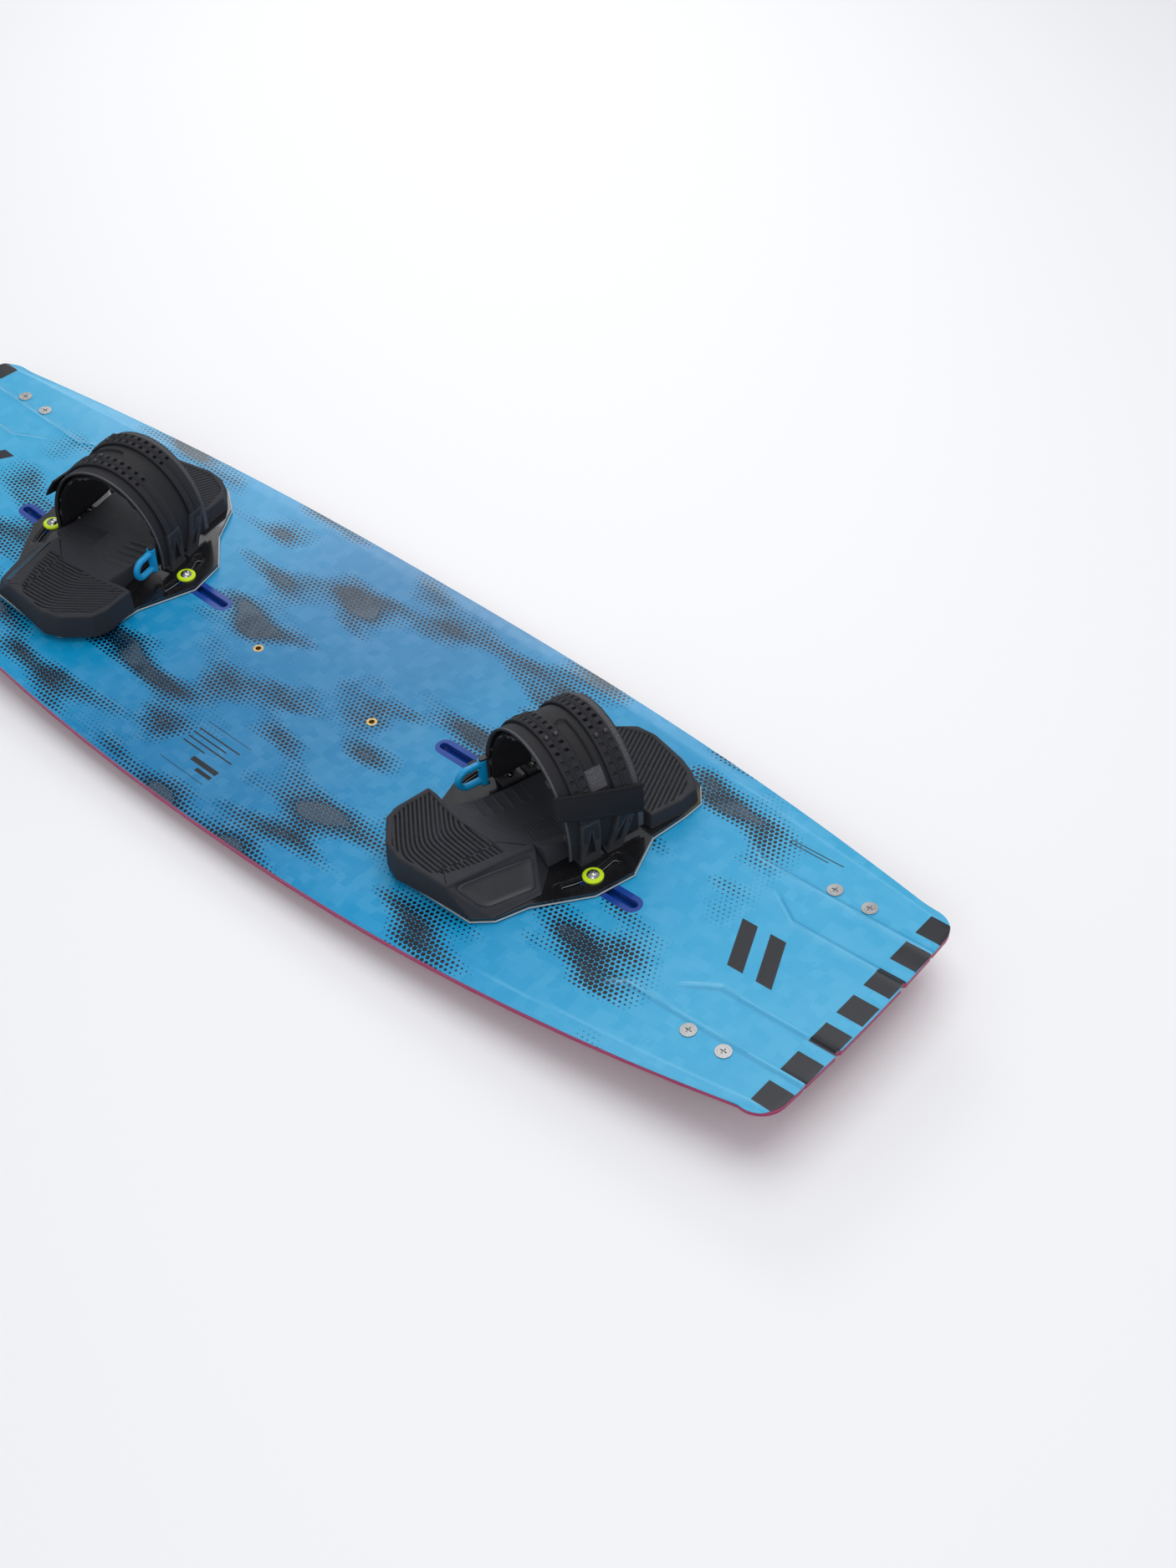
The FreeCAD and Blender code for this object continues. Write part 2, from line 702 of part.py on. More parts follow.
flank_corners = [flank_point(0, 0), flank_point(1, 0), flank_point(0, 1)]
outward = (flank_corners[1] - flank_corners[0]).cross(flank_corners[2] - flank_corners[0]).normalize()
panel_corners = []
for along, up in panel_shares:
    corner = flank_point(along, up)
    panel_corners.append(corner - outward * outward.dot(corner - flank_corners[0]))
panel_face = Part.Face(Part.makePolygon(panel_corners + panel_corners[:1]))
panel_face.translate(outward * -panel_sunk)
panel = panel_face.extrude(outward * (panel_sunk + panel_proud))
binding["heel_pad"] = heel_pad.cut(panel)
binding["side_panel"] = panel

# Footbed under the arch, sloping down from the heel pad, and toe pad in front of it
bed_outline = [
    (footbed_inner, heel_top[5][1] - 0.9), heel_top[6], (footbed_outer, heel_top[6][1] + 9),
    (footbed_outer, toe_outline[0][1] - pad_joint_gap), (footbed_inner, toe_outline[0][1] - pad_joint_gap),
]
slope = Part.BSplineCurve()
slope.interpolate([V(0, w, plate_top + z) for w, z in bed_slope])
slope_ends = [V(0, w, plate_top) for w in (bed_slope[-1][0], bed_slope[0][0])]
slope_edges = [slope.toShape(), line(V(0, bed_slope[-1][0], plate_top + bed_slope[-1][1]), slope_ends[0])]
slope_edges += [line(*slope_ends), line(slope_ends[1], V(0, bed_slope[0][0], plate_top + bed_slope[0][1]))]
slope_blank = Part.Face(Part.Wire(slope_edges)).extrude(V(tall, 0, 0))
slope_blank.translate(V(-tall / 2, 0, 0))
slope_blank.rotate(V(0, 0, 0), V(0, 0, 1), bed_turn)
slope_blank.translate(V(*heel_top[5], 0))
footbed = prism(bed_outline, plate_top, heel_top_z).common(slope_blank).cut(binding["heel_pad"])
binding["footbed"] = footbed.cut(panel)
binding["toe_pad"] = tapered_pad(toe_outline, plate_top, plate_top + toe_pad_height, toe_pad_draft)

# Strap liner, shell and ladders
binding["strap_liner"] = arch_solid(
    liner_half_span, liner_height, liner_thickness, liner_foot, strap_front, strap_rear
)
shell = arch_solid(
    shell_half_span, shell_height, shell_thickness, liner_foot, strap_front + shell_inset, strap_rear - shell_inset
)
window_sleeve = arch_solid(
    shell_half_span + 1, shell_height + 1, shell_thickness + 2, liner_foot, window_front, window_rear
)
reach = shell_height * 2
low_angle = math.radians(window_low_angle)
high_angle = math.radians(window_high_angle)
window_fan = Part.Face(Part.makePolygon([
    V(0, 0, spring_height),
    V(reach * math.sin(high_angle), 0, spring_height + reach * math.cos(high_angle)),
    V(reach * math.sin(low_angle), 0, spring_height + reach * math.cos(low_angle)),
    V(0, 0, spring_height),
])).extrude(V(0, tall / 2, 0))
shell = shell.cut(window_sleeve.common(window_fan))
peg_length = ladder_thickness + peg_proud
peg = Part.makeCylinder(peg_radius, peg_length + 1, V(0, 0, -1))
peg_cut = Part.makeCylinder(peg_radius + peg_clearance, peg_length + 2, V(0, 0, -2))
hole = Part.makeBox(hole_size, hole_size * 0.8, peg_length + 3, V(-hole_size / 2, -hole_size * 0.4, -3))

ladder_rows = (("front_ladder", front_ladder_y, front_peg_angle), ("rear_ladder", rear_ladder_y, rear_peg_angle))
for label, middle_y, peg_angle in ladder_rows:
    low_y = middle_y - ladder_width / 2
    ladder = arch_solid(
        ladder_half_span, ladder_height, ladder_thickness, liner_foot, low_y, low_y + ladder_width
    )
    ladder = ladder.common(Part.makeBox(tall, ladder_width, tall, V(-tall / 2, low_y, ladder_end)))
    cutters = []
    steps = int((hole_last_angle - hole_first_angle) / hole_pitch_angle) + 1
    for column in (-column_half_spacing, column_half_spacing):
        y = middle_y + column
        for k in range(steps):
            angle = hole_first_angle + k * hole_pitch_angle
            is_peg = abs(angle - peg_angle) < hole_pitch_angle / 2
            cutters.append(on_arch(shell_half_span, shell_height, angle, y, peg_cut if is_peg else hole))
        shell = shell.fuse(on_arch(shell_half_span, shell_height, peg_angle, y, peg))
    binding[label] = ladder.cut(cutters)
binding["strap_shell"] = shell.removeSplitter()

# Legs from the ladders down to the plate, with their bolts
bolts = []
for label, points in leg_spots.items():
    for side, where in ((1, "outer"), (-1, "inner")):
        sleeve = arch_solid(ladder_half_span, ladder_height, ladder_thickness, plate_top, strap_front - 10, strap_rear)
        leg = sleeve.common(side_prism(points, side)).cut(side_prism(leg_notches[label], side))
        foot_ys = [y for y, z in points if z == plate_top]
        tab_width = ladder_half_span - tab_inner
        tab_x = tab_inner if side > 0 else -ladder_half_span
        tab = Part.makeBox(tab_width, max(foot_ys) - min(foot_ys), tab_thickness, V(tab_x, min(foot_ys), plate_top))
        spot = V(side * bolt_x, bolt_ys[label], plate_bottom)
        shank_length = plate_thickness + tab_thickness
        bolt = Part.makeCylinder(bolt_radius, shank_length, spot)
        head_spot = spot + V(0, 0, shank_length)
        bolt_head = Part.makeCylinder(bolt_head_radius, bolt_head_height, head_spot)
        socket_corner = V(-bolt_socket_width / 2, -bolt_socket_width / 2, bolt_head_height - bolt_socket_depth)
        socket = Part.makeBox(bolt_socket_width, bolt_socket_width, bolt_head_height, head_spot + socket_corner)
        binding[where + "_" + label] = leg.fuse(tab).removeSplitter().cut(bolt)
        bolts.append(bolt.fuse(bolt_head).removeSplitter().cut(socket))
binding["leg_bolts"] = Part.makeCompound(bolts)

# Cover band over the outer leg roots
band_outline = [(-17, 90), (72, 67), (68, 38), (-21, 70)]
band_sleeve = arch_solid(
    band_half_span, band_height, band_thickness, plate_top, strap_front - 20, strap_rear + 20
)
binding["cover_band"] = band_sleeve.common(side_prism(band_outline, 1))

# Pull loop on its pin, at the heel edge of the inner side
pin_y = strap_front - loop_pin_offset
upper = loop_height + loop_radius
lower = loop_height - loop_radius
bend_y = pin_y - loop_reach
section = Part.Face(Part.Wire([Part.Circle(V(loop_x, bend_y, upper), V(0, 1, 0), loop_tube_radius).toShape()]))
loop = section.revolve(V(loop_x, bend_y, loop_height), V(1, 0, 0), 180)
for z in (upper, lower):
    loop = loop.fuse(Part.makeCylinder(loop_tube_radius, loop_reach, V(loop_x, bend_y, z), V(0, 1, 0)))
barrel_low = lower - loop_tube_radius - loop_barrel_margin
barrel_height = 2 * (loop_radius + loop_tube_radius + loop_barrel_margin)
loop = loop.fuse(Part.makeCylinder(loop_barrel_radius, barrel_height, V(loop_x, pin_y, barrel_low)))
pin_bore = Part.makeCylinder(loop_pin_radius + loop_clearance, tall / 2, V(loop_x, pin_y, 0))
binding["pull_loop"] = loop.removeSplitter().cut(pin_bore)
pin_low = barrel_low - loop_clearance - loop_lug_thickness
pin_height = barrel_height + 2 * (loop_clearance + loop_lug_thickness)
pin = Part.makeCylinder(loop_pin_radius, pin_height, V(loop_x, pin_y, pin_low))
for z in (pin_low, pin_low + pin_height - loop_lug_thickness):
    cap_radius = loop_pin_radius + loop_cap_margin
    lug = Part.makeBox(2 * cap_radius, loop_pin_offset, loop_lug_thickness, V(loop_x - cap_radius, pin_y, z))
    cap = Part.makeCylinder(cap_radius, loop_lug_thickness, V(loop_x, pin_y, z))
    pin = pin.fuse([lug, cap])
binding["loop_pin"] = pin.removeSplitter()

for name, shape in binding.items():
    right = placed(shape, plate_frame)
    parts["right_" + name] = right
    parts["left_" + name] = mirrored(right)

os.makedirs("parts", exist_ok=True)
for name, shape in parts.items():
    shape.exportStep("parts/" + name + ".step")
print(len(parts), "nodes")
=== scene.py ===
import bpy
import json
import math
import numpy as np
from functools import partial, reduce
from itertools import product
from mathutils import Matrix, Vector


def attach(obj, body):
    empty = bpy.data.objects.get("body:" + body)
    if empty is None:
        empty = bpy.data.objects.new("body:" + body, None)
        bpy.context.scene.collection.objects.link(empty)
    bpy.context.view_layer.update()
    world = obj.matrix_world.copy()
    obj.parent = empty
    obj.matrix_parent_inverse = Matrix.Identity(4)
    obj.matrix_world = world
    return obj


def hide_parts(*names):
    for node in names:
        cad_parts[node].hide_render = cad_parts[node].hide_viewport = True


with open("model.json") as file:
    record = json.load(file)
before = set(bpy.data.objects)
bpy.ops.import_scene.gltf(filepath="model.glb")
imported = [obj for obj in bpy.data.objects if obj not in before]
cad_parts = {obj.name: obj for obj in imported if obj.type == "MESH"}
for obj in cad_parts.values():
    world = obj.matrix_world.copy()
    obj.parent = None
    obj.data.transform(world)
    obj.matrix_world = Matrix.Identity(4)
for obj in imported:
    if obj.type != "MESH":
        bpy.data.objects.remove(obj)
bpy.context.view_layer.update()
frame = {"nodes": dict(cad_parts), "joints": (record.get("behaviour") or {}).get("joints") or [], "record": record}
nodes = frame["nodes"]
joints = {j["name"]: j for j in frame["joints"]}
print("frame loaded")

# Sizes below are in millimetres. Binding pieces are laid out for the right foot in the
# plate's own frame: x outboard, y to the toes, z up from the deck; the left is its mirror.
boardLook = {"halfLength": 690.0, "halfWidth": 204.0, "tipHalf": 130.0, "outlinePower": 2.22, "deckMiddle": 27.2,
             "deckRadius": 6818.9, "baseMiddle": 16.7, "baseRadius": 6283.5, "baseSheet": 1.5, "underDeck": 0.2,
             "skin": 0.9, "bevelDepth": 1.8, "ridgeHeight": 1.2, "notchRadius": 5.0, "notchDepth": 2.5,
             "steps": [([(481, 107), (502, 94), (700, 91)], 0.22), ([(532, 71.5), (569, 48.5), (700, 47)], 0.4)]}
# deck print colours, plus a painted highlight colour for the step crests and rail crease and a painted shade colour
# below the steps
deckPrintAndPaintedLight = {"near": (0.0, 0.31, 0.60), "tail": (0.040, 0.41, 0.68), "middle": (0.002, 0.20, 0.43),
             "dot": (0.001, 0.004, 0.012), "dotFaint": (0.0, 0.02, 0.06), "pitch": 5.5, "row": 4.8,
             "charcoal": (0.010, 0.011, 0.016), "hatch": (0.13, 0.19, 0.26), "crestPaintedHighlight": (0.16, 0.52, 0.78),
             "footShade": (0.0, 0.17, 0.36),
             "lines": [(-39, 25, -106.4, -105.6), (-39, 25, -169.1, -168.3), (-39, 21, -118.9, -117.1),
                       (-39, 9, -125.9, -124.1), (-39, 25, -132.9, -131.1), (-39, -7, -139.9, -138.1),
                       (-12, 25, -153.5, -147.5), (3, 25, -161, -156.5), (508, 566, 131.4, 132.6),
                       (508, 552, 127.4, 128.6)]}
deckHoles = {"tracks": ((393.0, -21.8), (219.0, 21.8)), "trackLength": 120.0, "trackWidth": 15.0,
             "handleX": 85.0, "handleRadius": 4.3, "finXs": (577.0, 614.4), "finY": 103.5, "finRadius": 6.2}
heelLook = {"top": 34.3, "pitch": 4.6, "grooveDepth": 1.7, "sunk": 1.0, "rim": 2.2, "bend": -14.0}
toeLook = {"top": 21.3, "pitch": 4.6, "grooveDepth": 1.5, "rim": 2.2, "draft": 0.95}
bedLook = {"left": -43.8, "right": 55.8, "toe": 75.4, "highest": 33.6, "ribHeight": 1.3, "ribHalf": 1.5,
           "patchPitch": 3.2, "patchDepth": 0.8}
linerLook = {"span": 68.0, "height": 112.0, "thickness": 8.0, "front": -14.0, "rear": 74.0, "foot": 16.0}
shellLook = {"span": 70.5, "height": 114.5, "front": -12.0, "rear": 72.0, "foot": 16.0}
ladderLook = {"span": 74.0, "height": 118.0, "halfWidth": 10.0, "front": 12.0, "rear": 54.0,
              "endAngle": 75.3, "column": 5.0, "firstHole": -31.0, "pitch": 7.0, "holes": 13, "pegFront": 11.0,
              "pegRear": 25.0, "pegRadius": 2.5, "pegHeight": 2.6}
bandLook = {"span": 77.2, "height": 121.2, "width": 31.0, "length": 92.0,
            "corners": [(-17, 90), (72, 67), (68, 38), (-21, 70)]}
teethLook = {"rings": (84.9, 95.1), "pitchAngle": 1.95, "halfWidth": 0.95, "halfDepth": 1.5, "height": 1.15,
             "foot": 5.4}
springHeight = 30.0  # above this height every strap layer is a half ellipse
plateTop = 6.3
padLow = plateTop + 0.05


def unit(v):
    v = np.array(v, float)
    return v / np.linalg.norm(v)


plateOrigin = np.array(joints["right_duck_swivel"]["pos_m"], float) * 1000
plateNormal = unit(joints["right_duck_swivel"]["axis"])
trackAlong = unit(joints["right_stance_slide"]["axis"])
duck = math.radians(14.0)
acrossBoard = np.cross(plateNormal, trackAlong)
plateX = math.cos(duck) * trackAlong - math.sin(duck) * acrossBoard
plateY = math.sin(duck) * trackAlong + math.cos(duck) * acrossBoard


def fromPlate(p):
    p = np.asarray(p, float)
    return plateOrigin + p[..., 0:1] * plateX + p[..., 1:2] * plateY + p[..., 2:3] * plateNormal


def addMesh(name, verts, faces, uv=None, smooth=True):
    mesh = bpy.data.meshes.new(name)
    mesh.from_pydata((np.asarray(verts) / 1000).tolist(), [], [list(map(int, f)) for f in faces])
    if uv is not None:
        layer = mesh.uv_layers.new(name="UVMap")
        loopVerts = np.zeros(len(mesh.loops), np.int32)
        mesh.loops.foreach_get("vertex_index", loopVerts)
        layer.data.foreach_set("uv", (np.asarray(uv)[loopVerts] / 1000).astype(np.float32).ravel())
    mesh.polygons.foreach_set("use_smooth", np.full(len(mesh.polygons), smooth))
    mesh.update()
    piece = bpy.data.objects.new(name, mesh)
    bpy.context.scene.collection.objects.link(piece)
    if smooth:
        mesh.set_sharp_from_angle(angle=math.radians(50))
    return piece


def bindingPair(name, mesh, slot, body="binding", replaced=None):
    verts, faces, uv = mesh
    row = fromPlate(verts)
    for side in ("right", "left"):
        v = row if side == "right" else row * np.array([-1, 1, 1])
        f = faces if side == "right" else [q[::-1] for q in faces]
        piece = addMesh(side + "_" + name, v, f, uv)
        piece.data.materials.append(looks[slot])
        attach(piece, side + "_" + body)
        if replaced:
            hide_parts(side + "_" + replaced)


def gridSolid(top, bottom, keep=None):
    m, n = top.shape[:2]
    ids = np.arange(m * n).reshape(m, n)
    if keep is None:
        keep = np.ones((m - 1, n - 1), bool)
    a, b, c, d = ids[:-1, :-1], ids[1:, :-1], ids[1:, 1:], ids[:-1, 1:]
    faces = [np.stack([a, b, c, d], -1)[keep], np.stack([d, c, b, a], -1)[keep] + m * n]
    padded = np.pad(keep, 1)
    for (p, q), shift in (((a, b), (1, 0)), ((b, c), (2, 1)), ((c, d), (1, 2)), ((d, a), (0, 1))):
        other = padded[shift[0]:shift[0] + m - 1, shift[1]:shift[1] + n - 1]
        edge = keep & ~other
        faces.append(np.stack([q, p, p + m * n, q + m * n], -1)[edge])
    verts = np.concatenate([top.reshape(-1, 3), bottom.reshape(-1, 3)])
    faces = np.concatenate(faces)
    used = np.unique(faces)
    renumber = np.full(len(verts), -1)
    renumber[used] = np.arange(len(used))
    return verts[used], renumber[faces], used


def smoothStep(a, b, x):
    t = np.clip((x - a) / (b - a), 0, 1)
    return t * t * (3 - 2 * t)


def hump(off, width):
    return np.exp(-(off / width) ** 2)


# Board
def deckZ(x):
    return boardLook["deckMiddle"] + boardLook["deckRadius"] - np.sqrt(boardLook["deckRadius"] ** 2 - x ** 2)


def baseZ(x):
    return boardLook["baseMiddle"] + boardLook["baseRadius"] - np.sqrt(boardLook["baseRadius"] ** 2 - x ** 2)


def sideY(x):
    share = (np.abs(x) / boardLook["halfLength"]) ** boardLook["outlinePower"]
    return boardLook["halfWidth"] - (boardLook["halfWidth"] - boardLook["tipHalf"]) * share


def stations(spans):
    out = []
    for low, high, step in spans:
        out.append(np.arange(low, high - step * 0.3, step))
    out.append([spans[-1][1]])
    return np.concatenate(out)


tipEnd = boardLook["halfLength"]
cornerY = 111.8
cornerTip = (687.0, cornerY)
cornerStart = (656.0, float(sideY(656.0)))
bulge = (tipEnd - 10.88, cornerStart[1] - 6.76)


def arcThrough(a, b, c, count):
    ax, ay, bx, by, cx, cy = *a, *b, *c
    d = 2 * (ax * (by - cy) + bx * (cy - ay) + cx * (ay - by))
    ux = ((ax ** 2 + ay ** 2) * (by - cy) + (bx ** 2 + by ** 2) * (cy - ay) + (cx ** 2 + cy ** 2) * (ay - by)) / d
    uy = ((ax ** 2 + ay ** 2) * (cx - bx) + (bx ** 2 + by ** 2) * (ax - cx) + (cx ** 2 + cy ** 2) * (bx - ax)) / d
    start, end = math.atan2(ay - uy, ax - ux), math.atan2(cy - uy, cx - ux)
    r = math.hypot(ax - ux, ay - uy)
    t = np.linspace(start, end, count)
    return np.stack([ux + r * np.cos(t), uy + r * np.sin(t)], -1)


halfRows = stations([(0, 7, 1.0), (7, 30, 1.3), (30, 42, 2.4), (42, cornerY, 1.25)])
outerShares = 1 - (1 - np.linspace(0, 1, 24)[1:]) ** 1.35
cornerPoints = arcThrough(cornerTip, bulge, cornerStart, len(outerShares) + 1)[1:]
halfCols = stations([(0, 78, 4), (78, 92, 1.2), (92, 152, 4), (152, 162, 1.5), (162, 270, 4), (270, 460, 4),
                     (460, 620, 1.8)])
endShares = np.linspace(0, 1, 38)[1:]
rowKeys = np.concatenate([halfRows, 1000 + outerShares])
rowKeys = np.concatenate([-rowKeys[:0:-1], rowKeys])


def tipLine(y):
    return tipEnd - (tipEnd - cornerTip[0]) * (y / cornerY) ** 2


def tipX(y):
    y = np.abs(y)
    x = tipLine(y)
    for centre in (47.0, 91.0):
        inside = np.abs(y - centre) < boardLook["notchRadius"]
        reach = np.sqrt(np.maximum(boardLook["notchRadius"] ** 2 - (y - centre) ** 2, 0))
        notch = tipEnd - boardLook["notchDepth"] + boardLook["notchRadius"] - reach
        x = np.where(inside, np.minimum(x, notch), x)
    return x


def planGrid():
    cols = len(halfCols) + len(endShares)
    half = np.zeros((cols, len(rowKeys), 2))
    for j, key in enumerate(rowKeys):
        sign, k = (1 if key >= 0 else -1), abs(key)
        if k < 1000:
            endX, endY = float(tipX(k)), k
            ys = np.full(cols, k)
            xs = np.concatenate([halfCols, halfCols[-1] + endShares * (endX - halfCols[-1])])
        else:
            share = k - 1000
            i = int(np.argmin(np.abs(outerShares - share)))
            endX, endY = cornerPoints[i]
            xs = np.concatenate([halfCols, halfCols[-1] + endShares * (endX - halfCols[-1])])
            ys = cornerY + share * (sideY(xs) - cornerY)
            w = np.concatenate([np.zeros(len(halfCols)), endShares])
            ys = ys + w ** 2 * (endY - ys[-1])
        half[:, j, 0], half[:, j, 1] = xs, sign * ys
    left = half[:0:-1] * np.array([-1, 1])
    return np.concatenate([left, half])


def lineDistance(x, y, points):
    best = np.full(x.shape, 1e9)
    side = np.zeros(x.shape)
    for (ax, ay), (bx, by) in zip(points, points[1:]):
        dx, dy = bx - ax, by - ay
        t = np.clip(((x - ax) * dx + (y - ay) * dy) / (dx * dx + dy * dy), 0, 1)
        d = np.hypot(x - ax - t * dx, y - ay - t * dy)
        s = np.sign((x - ax) * -dy + (y - ay) * dx)
        side = np.where(d < best, s, side)
        best = np.minimum(best, d)
    return best, side


def deckRelief(x, y):
    ax, ay = np.abs(x), np.abs(y)
    drop = np.zeros(x.shape)
    rise = np.zeros(x.shape)
    foot = np.zeros(x.shape)
    for points, step in boardLook["steps"]:
        d, side = lineDistance(ax, ay, points)
        grow = smoothStep(points[0][0] - 2, points[0][0] + 22, ax)
        outward = np.where(side > 0, 1.0, -1.0) * d
        crest = hump(d, 1.5) * boardLook["ridgeHeight"] * 0.85
        crest = crest + np.where(outward < 0, hump(d, 4.2) * boardLook["ridgeHeight"] * 0.25, 0)
        rise = np.maximum(rise, crest * grow)
        foot = np.maximum(foot, hump(outward - 3.4, 1.3) * grow)
        fall = smoothStep(0.0, 4.0, outward) * (1 - 0.6 * smoothStep(6, 26, outward))
        drop += fall * step * grow
    edge = sideY(x) - ay
    width = np.interp(ax, [0, 512, 585, 665, tipEnd], [16, 16, 12, 7, 6])
    toTip = tipLine(ay) - ax
    bevel = np.clip(1 - edge / width, 0, 1) ** 1.4 * boardLook["bevelDepth"]
    tipRound = np.clip(1 - toTip / 3.0, 0, 1) ** 2 * 0.7
    crease = hump(edge - width, 1.1) * smoothStep(300, 480, ax)
    return rise - drop - np.maximum(bevel, tipRound), rise / boardLook["ridgeHeight"], foot, crease


def inSlot(x, y, centre, length, width):
    beyond = np.maximum(np.abs(x - centre[0]) - (length - width) / 2, 0)
    return np.hypot(beyond, y - centre[1]) < width / 2


plan = planGrid()
gx, gy = plan[..., 0], plan[..., 1]
relief, crestMask, footMask, creaseMask = deckRelief(gx, gy)
deckTop = np.dstack([gx, gy, deckZ(gx) - boardLook["underDeck"] + relief])
deckLow = np.dstack([gx, gy, deckZ(gx) - boardLook["underDeck"] - np.maximum(boardLook["skin"], -relief + 0.12)])
edgeDistance = sideY(gx) - np.abs(gy)
lowEdge = np.clip(1 - edgeDistance / 12, 0, 1)
edgeLow = deckZ(gx) - boardLook["underDeck"] + relief - boardLook["skin"] * (0.15 + 0.85 * lowEdge)
deckLow[..., 2] = np.where(edgeDistance < 12, edgeLow, deckLow[..., 2])
midX = (gx[:-1, :-1] + gx[1:, 1:]) / 2
midY = (gy[:-1, :-1] + gy[1:, 1:]) / 2
keepCell = np.ones(midX.shape, bool)
for sx in (-1, 1):
    for track in deckHoles["tracks"]:
        keepCell &= ~inSlot(midX * sx, midY, track, deckHoles["trackLength"], deckHoles["trackWidth"])
    keepCell &= np.hypot(midX - sx * deckHoles["handleX"], midY) >= deckHoles["handleRadius"]
    for sy, finX in product((-1, 1), deckHoles["finXs"]):
        keepCell &= np.hypot(midX - sx * finX, midY - sy * deckHoles["finY"]) >= deckHoles["finRadius"]
deckVerts, deckFaces, deckUsed = gridSolid(deckTop, deckLow, keepCell)
print("deck", len(deckVerts))


def boardEdge():
    return np.concatenate([plan[:, -1], plan[-1, ::-1][1:], plan[::-1, 0][1:], plan[0, :][1:-1]])


def loopNormals(loop):
    d = np.roll(loop, -1, 0) - np.roll(loop, 1, 0)
    n = np.stack([d[:, 1], -d[:, 0]], -1)
    return n / np.maximum(np.linalg.norm(n, axis=1, keepdims=True), 1e-9)


def signedArea(loop):
    return np.sum(loop[:, 0] * np.roll(loop[:, 1], -1) - np.roll(loop[:, 0], -1) * loop[:, 1])


def ringFaces(first, second, count):
    after = (np.arange(count) + 1) % count
    now = np.arange(count)
    return np.stack([first + now, first + after, second + after, second + now], -1).tolist()


def stacked(layers, capped=True):
    n, last = len(layers[0]), len(layers) - 1
    faces = []
    for k in range(last):
        faces += ringFaces(k * n, (k + 1) * n, n)
    if capped:
        faces += [tuple(range(last * n, last * n + n)), tuple(range(n - 1, -1, -1))]
    return np.concatenate(layers), faces


def railMesh():
    loop = boardEdge()
    if signedArea(loop) < 0:
        loop = loop[::-1]
    out = loopNormals(loop)
    topZ = deckZ(loop[:, 0]) - 0.2 + deckRelief(loop[:, 0], loop[:, 1])[0] - boardLook["skin"] + 0.02
    lowZ = baseZ(loop[:, 0]) + boardLook["baseSheet"]
    profile = [(11.8, 0.0), (0.25, 0.0), (0.02, 0.18), (0.0, 0.5), (0.1, 0.8), (0.45, 1.0), (11.8, 1.0)]
    rings = []
    for k, (inset, down) in enumerate(profile):
        ring = loop - out * inset
        z = topZ + (lowZ - topZ) * down
        if inset > 1:
            z = np.where(down > 0.5, baseZ(ring[:, 0]) + boardLook["baseSheet"], deckZ(ring[:, 0]) - 1.5)
        rings.append(np.column_stack([ring, z]))
    verts = np.concatenate(rings)
    n, m = len(loop), len(profile)
    faces = []
    for k in range(m):
        faces += [face[::-1] for face in ringFaces(k * n, (k + 1) % m * n, n)]
    return verts, faces


# Binding pads
def denseLoops(loops, spacing, passes):
    loops = [np.array(p, float) for p in loops]
    out = [[] for p in loops]
    count = len(loops[0])
    for k in range(count):
        n = max(2, int(round(max(np.linalg.norm(p[(k + 1) % count] - p[k]) for p in loops) / spacing)))
        t = np.arange(n)[:, None] / n
        for p, o in zip(loops, out):
            o.append(p[k] + (p[(k + 1) % count] - p[k]) * t)
    result = []
    for o in out:
        q = np.concatenate(o)
        for k in range(passes):
            q = (np.roll(q, 1, 0) + 2 * q + np.roll(q, -1, 0)) / 4
        result.append(q)
    return result


def padMesh(lowLoop, topLoop, lowZ, height, rim, centre, rings, wallRings, spacing, passes, wallShape=None):
    low, top = denseLoops([lowLoop, topLoop], spacing, passes)
    if signedArea(low) < 0:
        low, top = low[::-1], top[::-1]
    inward = -loopNormals(top)
    layers = []
    topZ = height(top[:, 0], top[:, 1])
    centre = np.array(centre, float)
    layers.append(np.column_stack([centre + (low - centre) * 0.9, np.full(len(low), lowZ)]))
    layers.append(np.column_stack([low + loopNormals(low) * -0.6, np.full(len(low), lowZ)]))
    for w in np.linspace(0, 1, wallRings):
        p = low + (top - low) * w
        z = lowZ + 0.5 + (topZ - rim - lowZ - 0.5) * w
        layer = np.column_stack([p, z])
        if wallShape is not None:
            layer = wallShape(layer)
        layers.append(layer)
    for angle in np.radians([25, 50, 72, 90]):
        p = top + inward * rim * (1 - math.cos(angle))
        layers.append(np.column_stack([p, topZ - rim + rim * math.sin(angle)]))
    inner = top + inward * rim
    for f in np.linspace(1, 0.02, rings)[1:]:
        p = centre + (inner - centre) * f
        layers.append(np.column_stack([p, height(p[:, 0], p[:, 1])]))
    verts, faces = stacked(layers, False)
    n, last = len(low), len(verts) - len(low)
    middle = [[*centre, lowZ], [*centre, float(height(centre[:1], centre[1:])[0])]]
    verts = np.concatenate([verts, middle])
    for i in range(n):
        j = (i + 1) % n
        faces.append((j, i, len(verts) - 2))
        faces.append((last + i, last + j, len(verts) - 1))
    return verts, faces, verts[:, :2].copy()


def insidePolygon(x, y, polygon):
    inside = np.zeros(np.shape(x), bool)
    for (ax, ay), (bx, by) in zip(polygon, polygon[1:] + polygon[:1]):
        cross = ((ay > y) != (by > y)) & (x < (bx - ax) * (y - ay) / (by - ay + 1e-12) + ax)
        inside ^= cross
    return inside


def regionFade(x, y, polygon, width):
    d = lineDistance(x, y, polygon + polygon[:1])[0]
    return np.where(insidePolygon(x, y, polygon), smoothStep(0, width, d), 0)


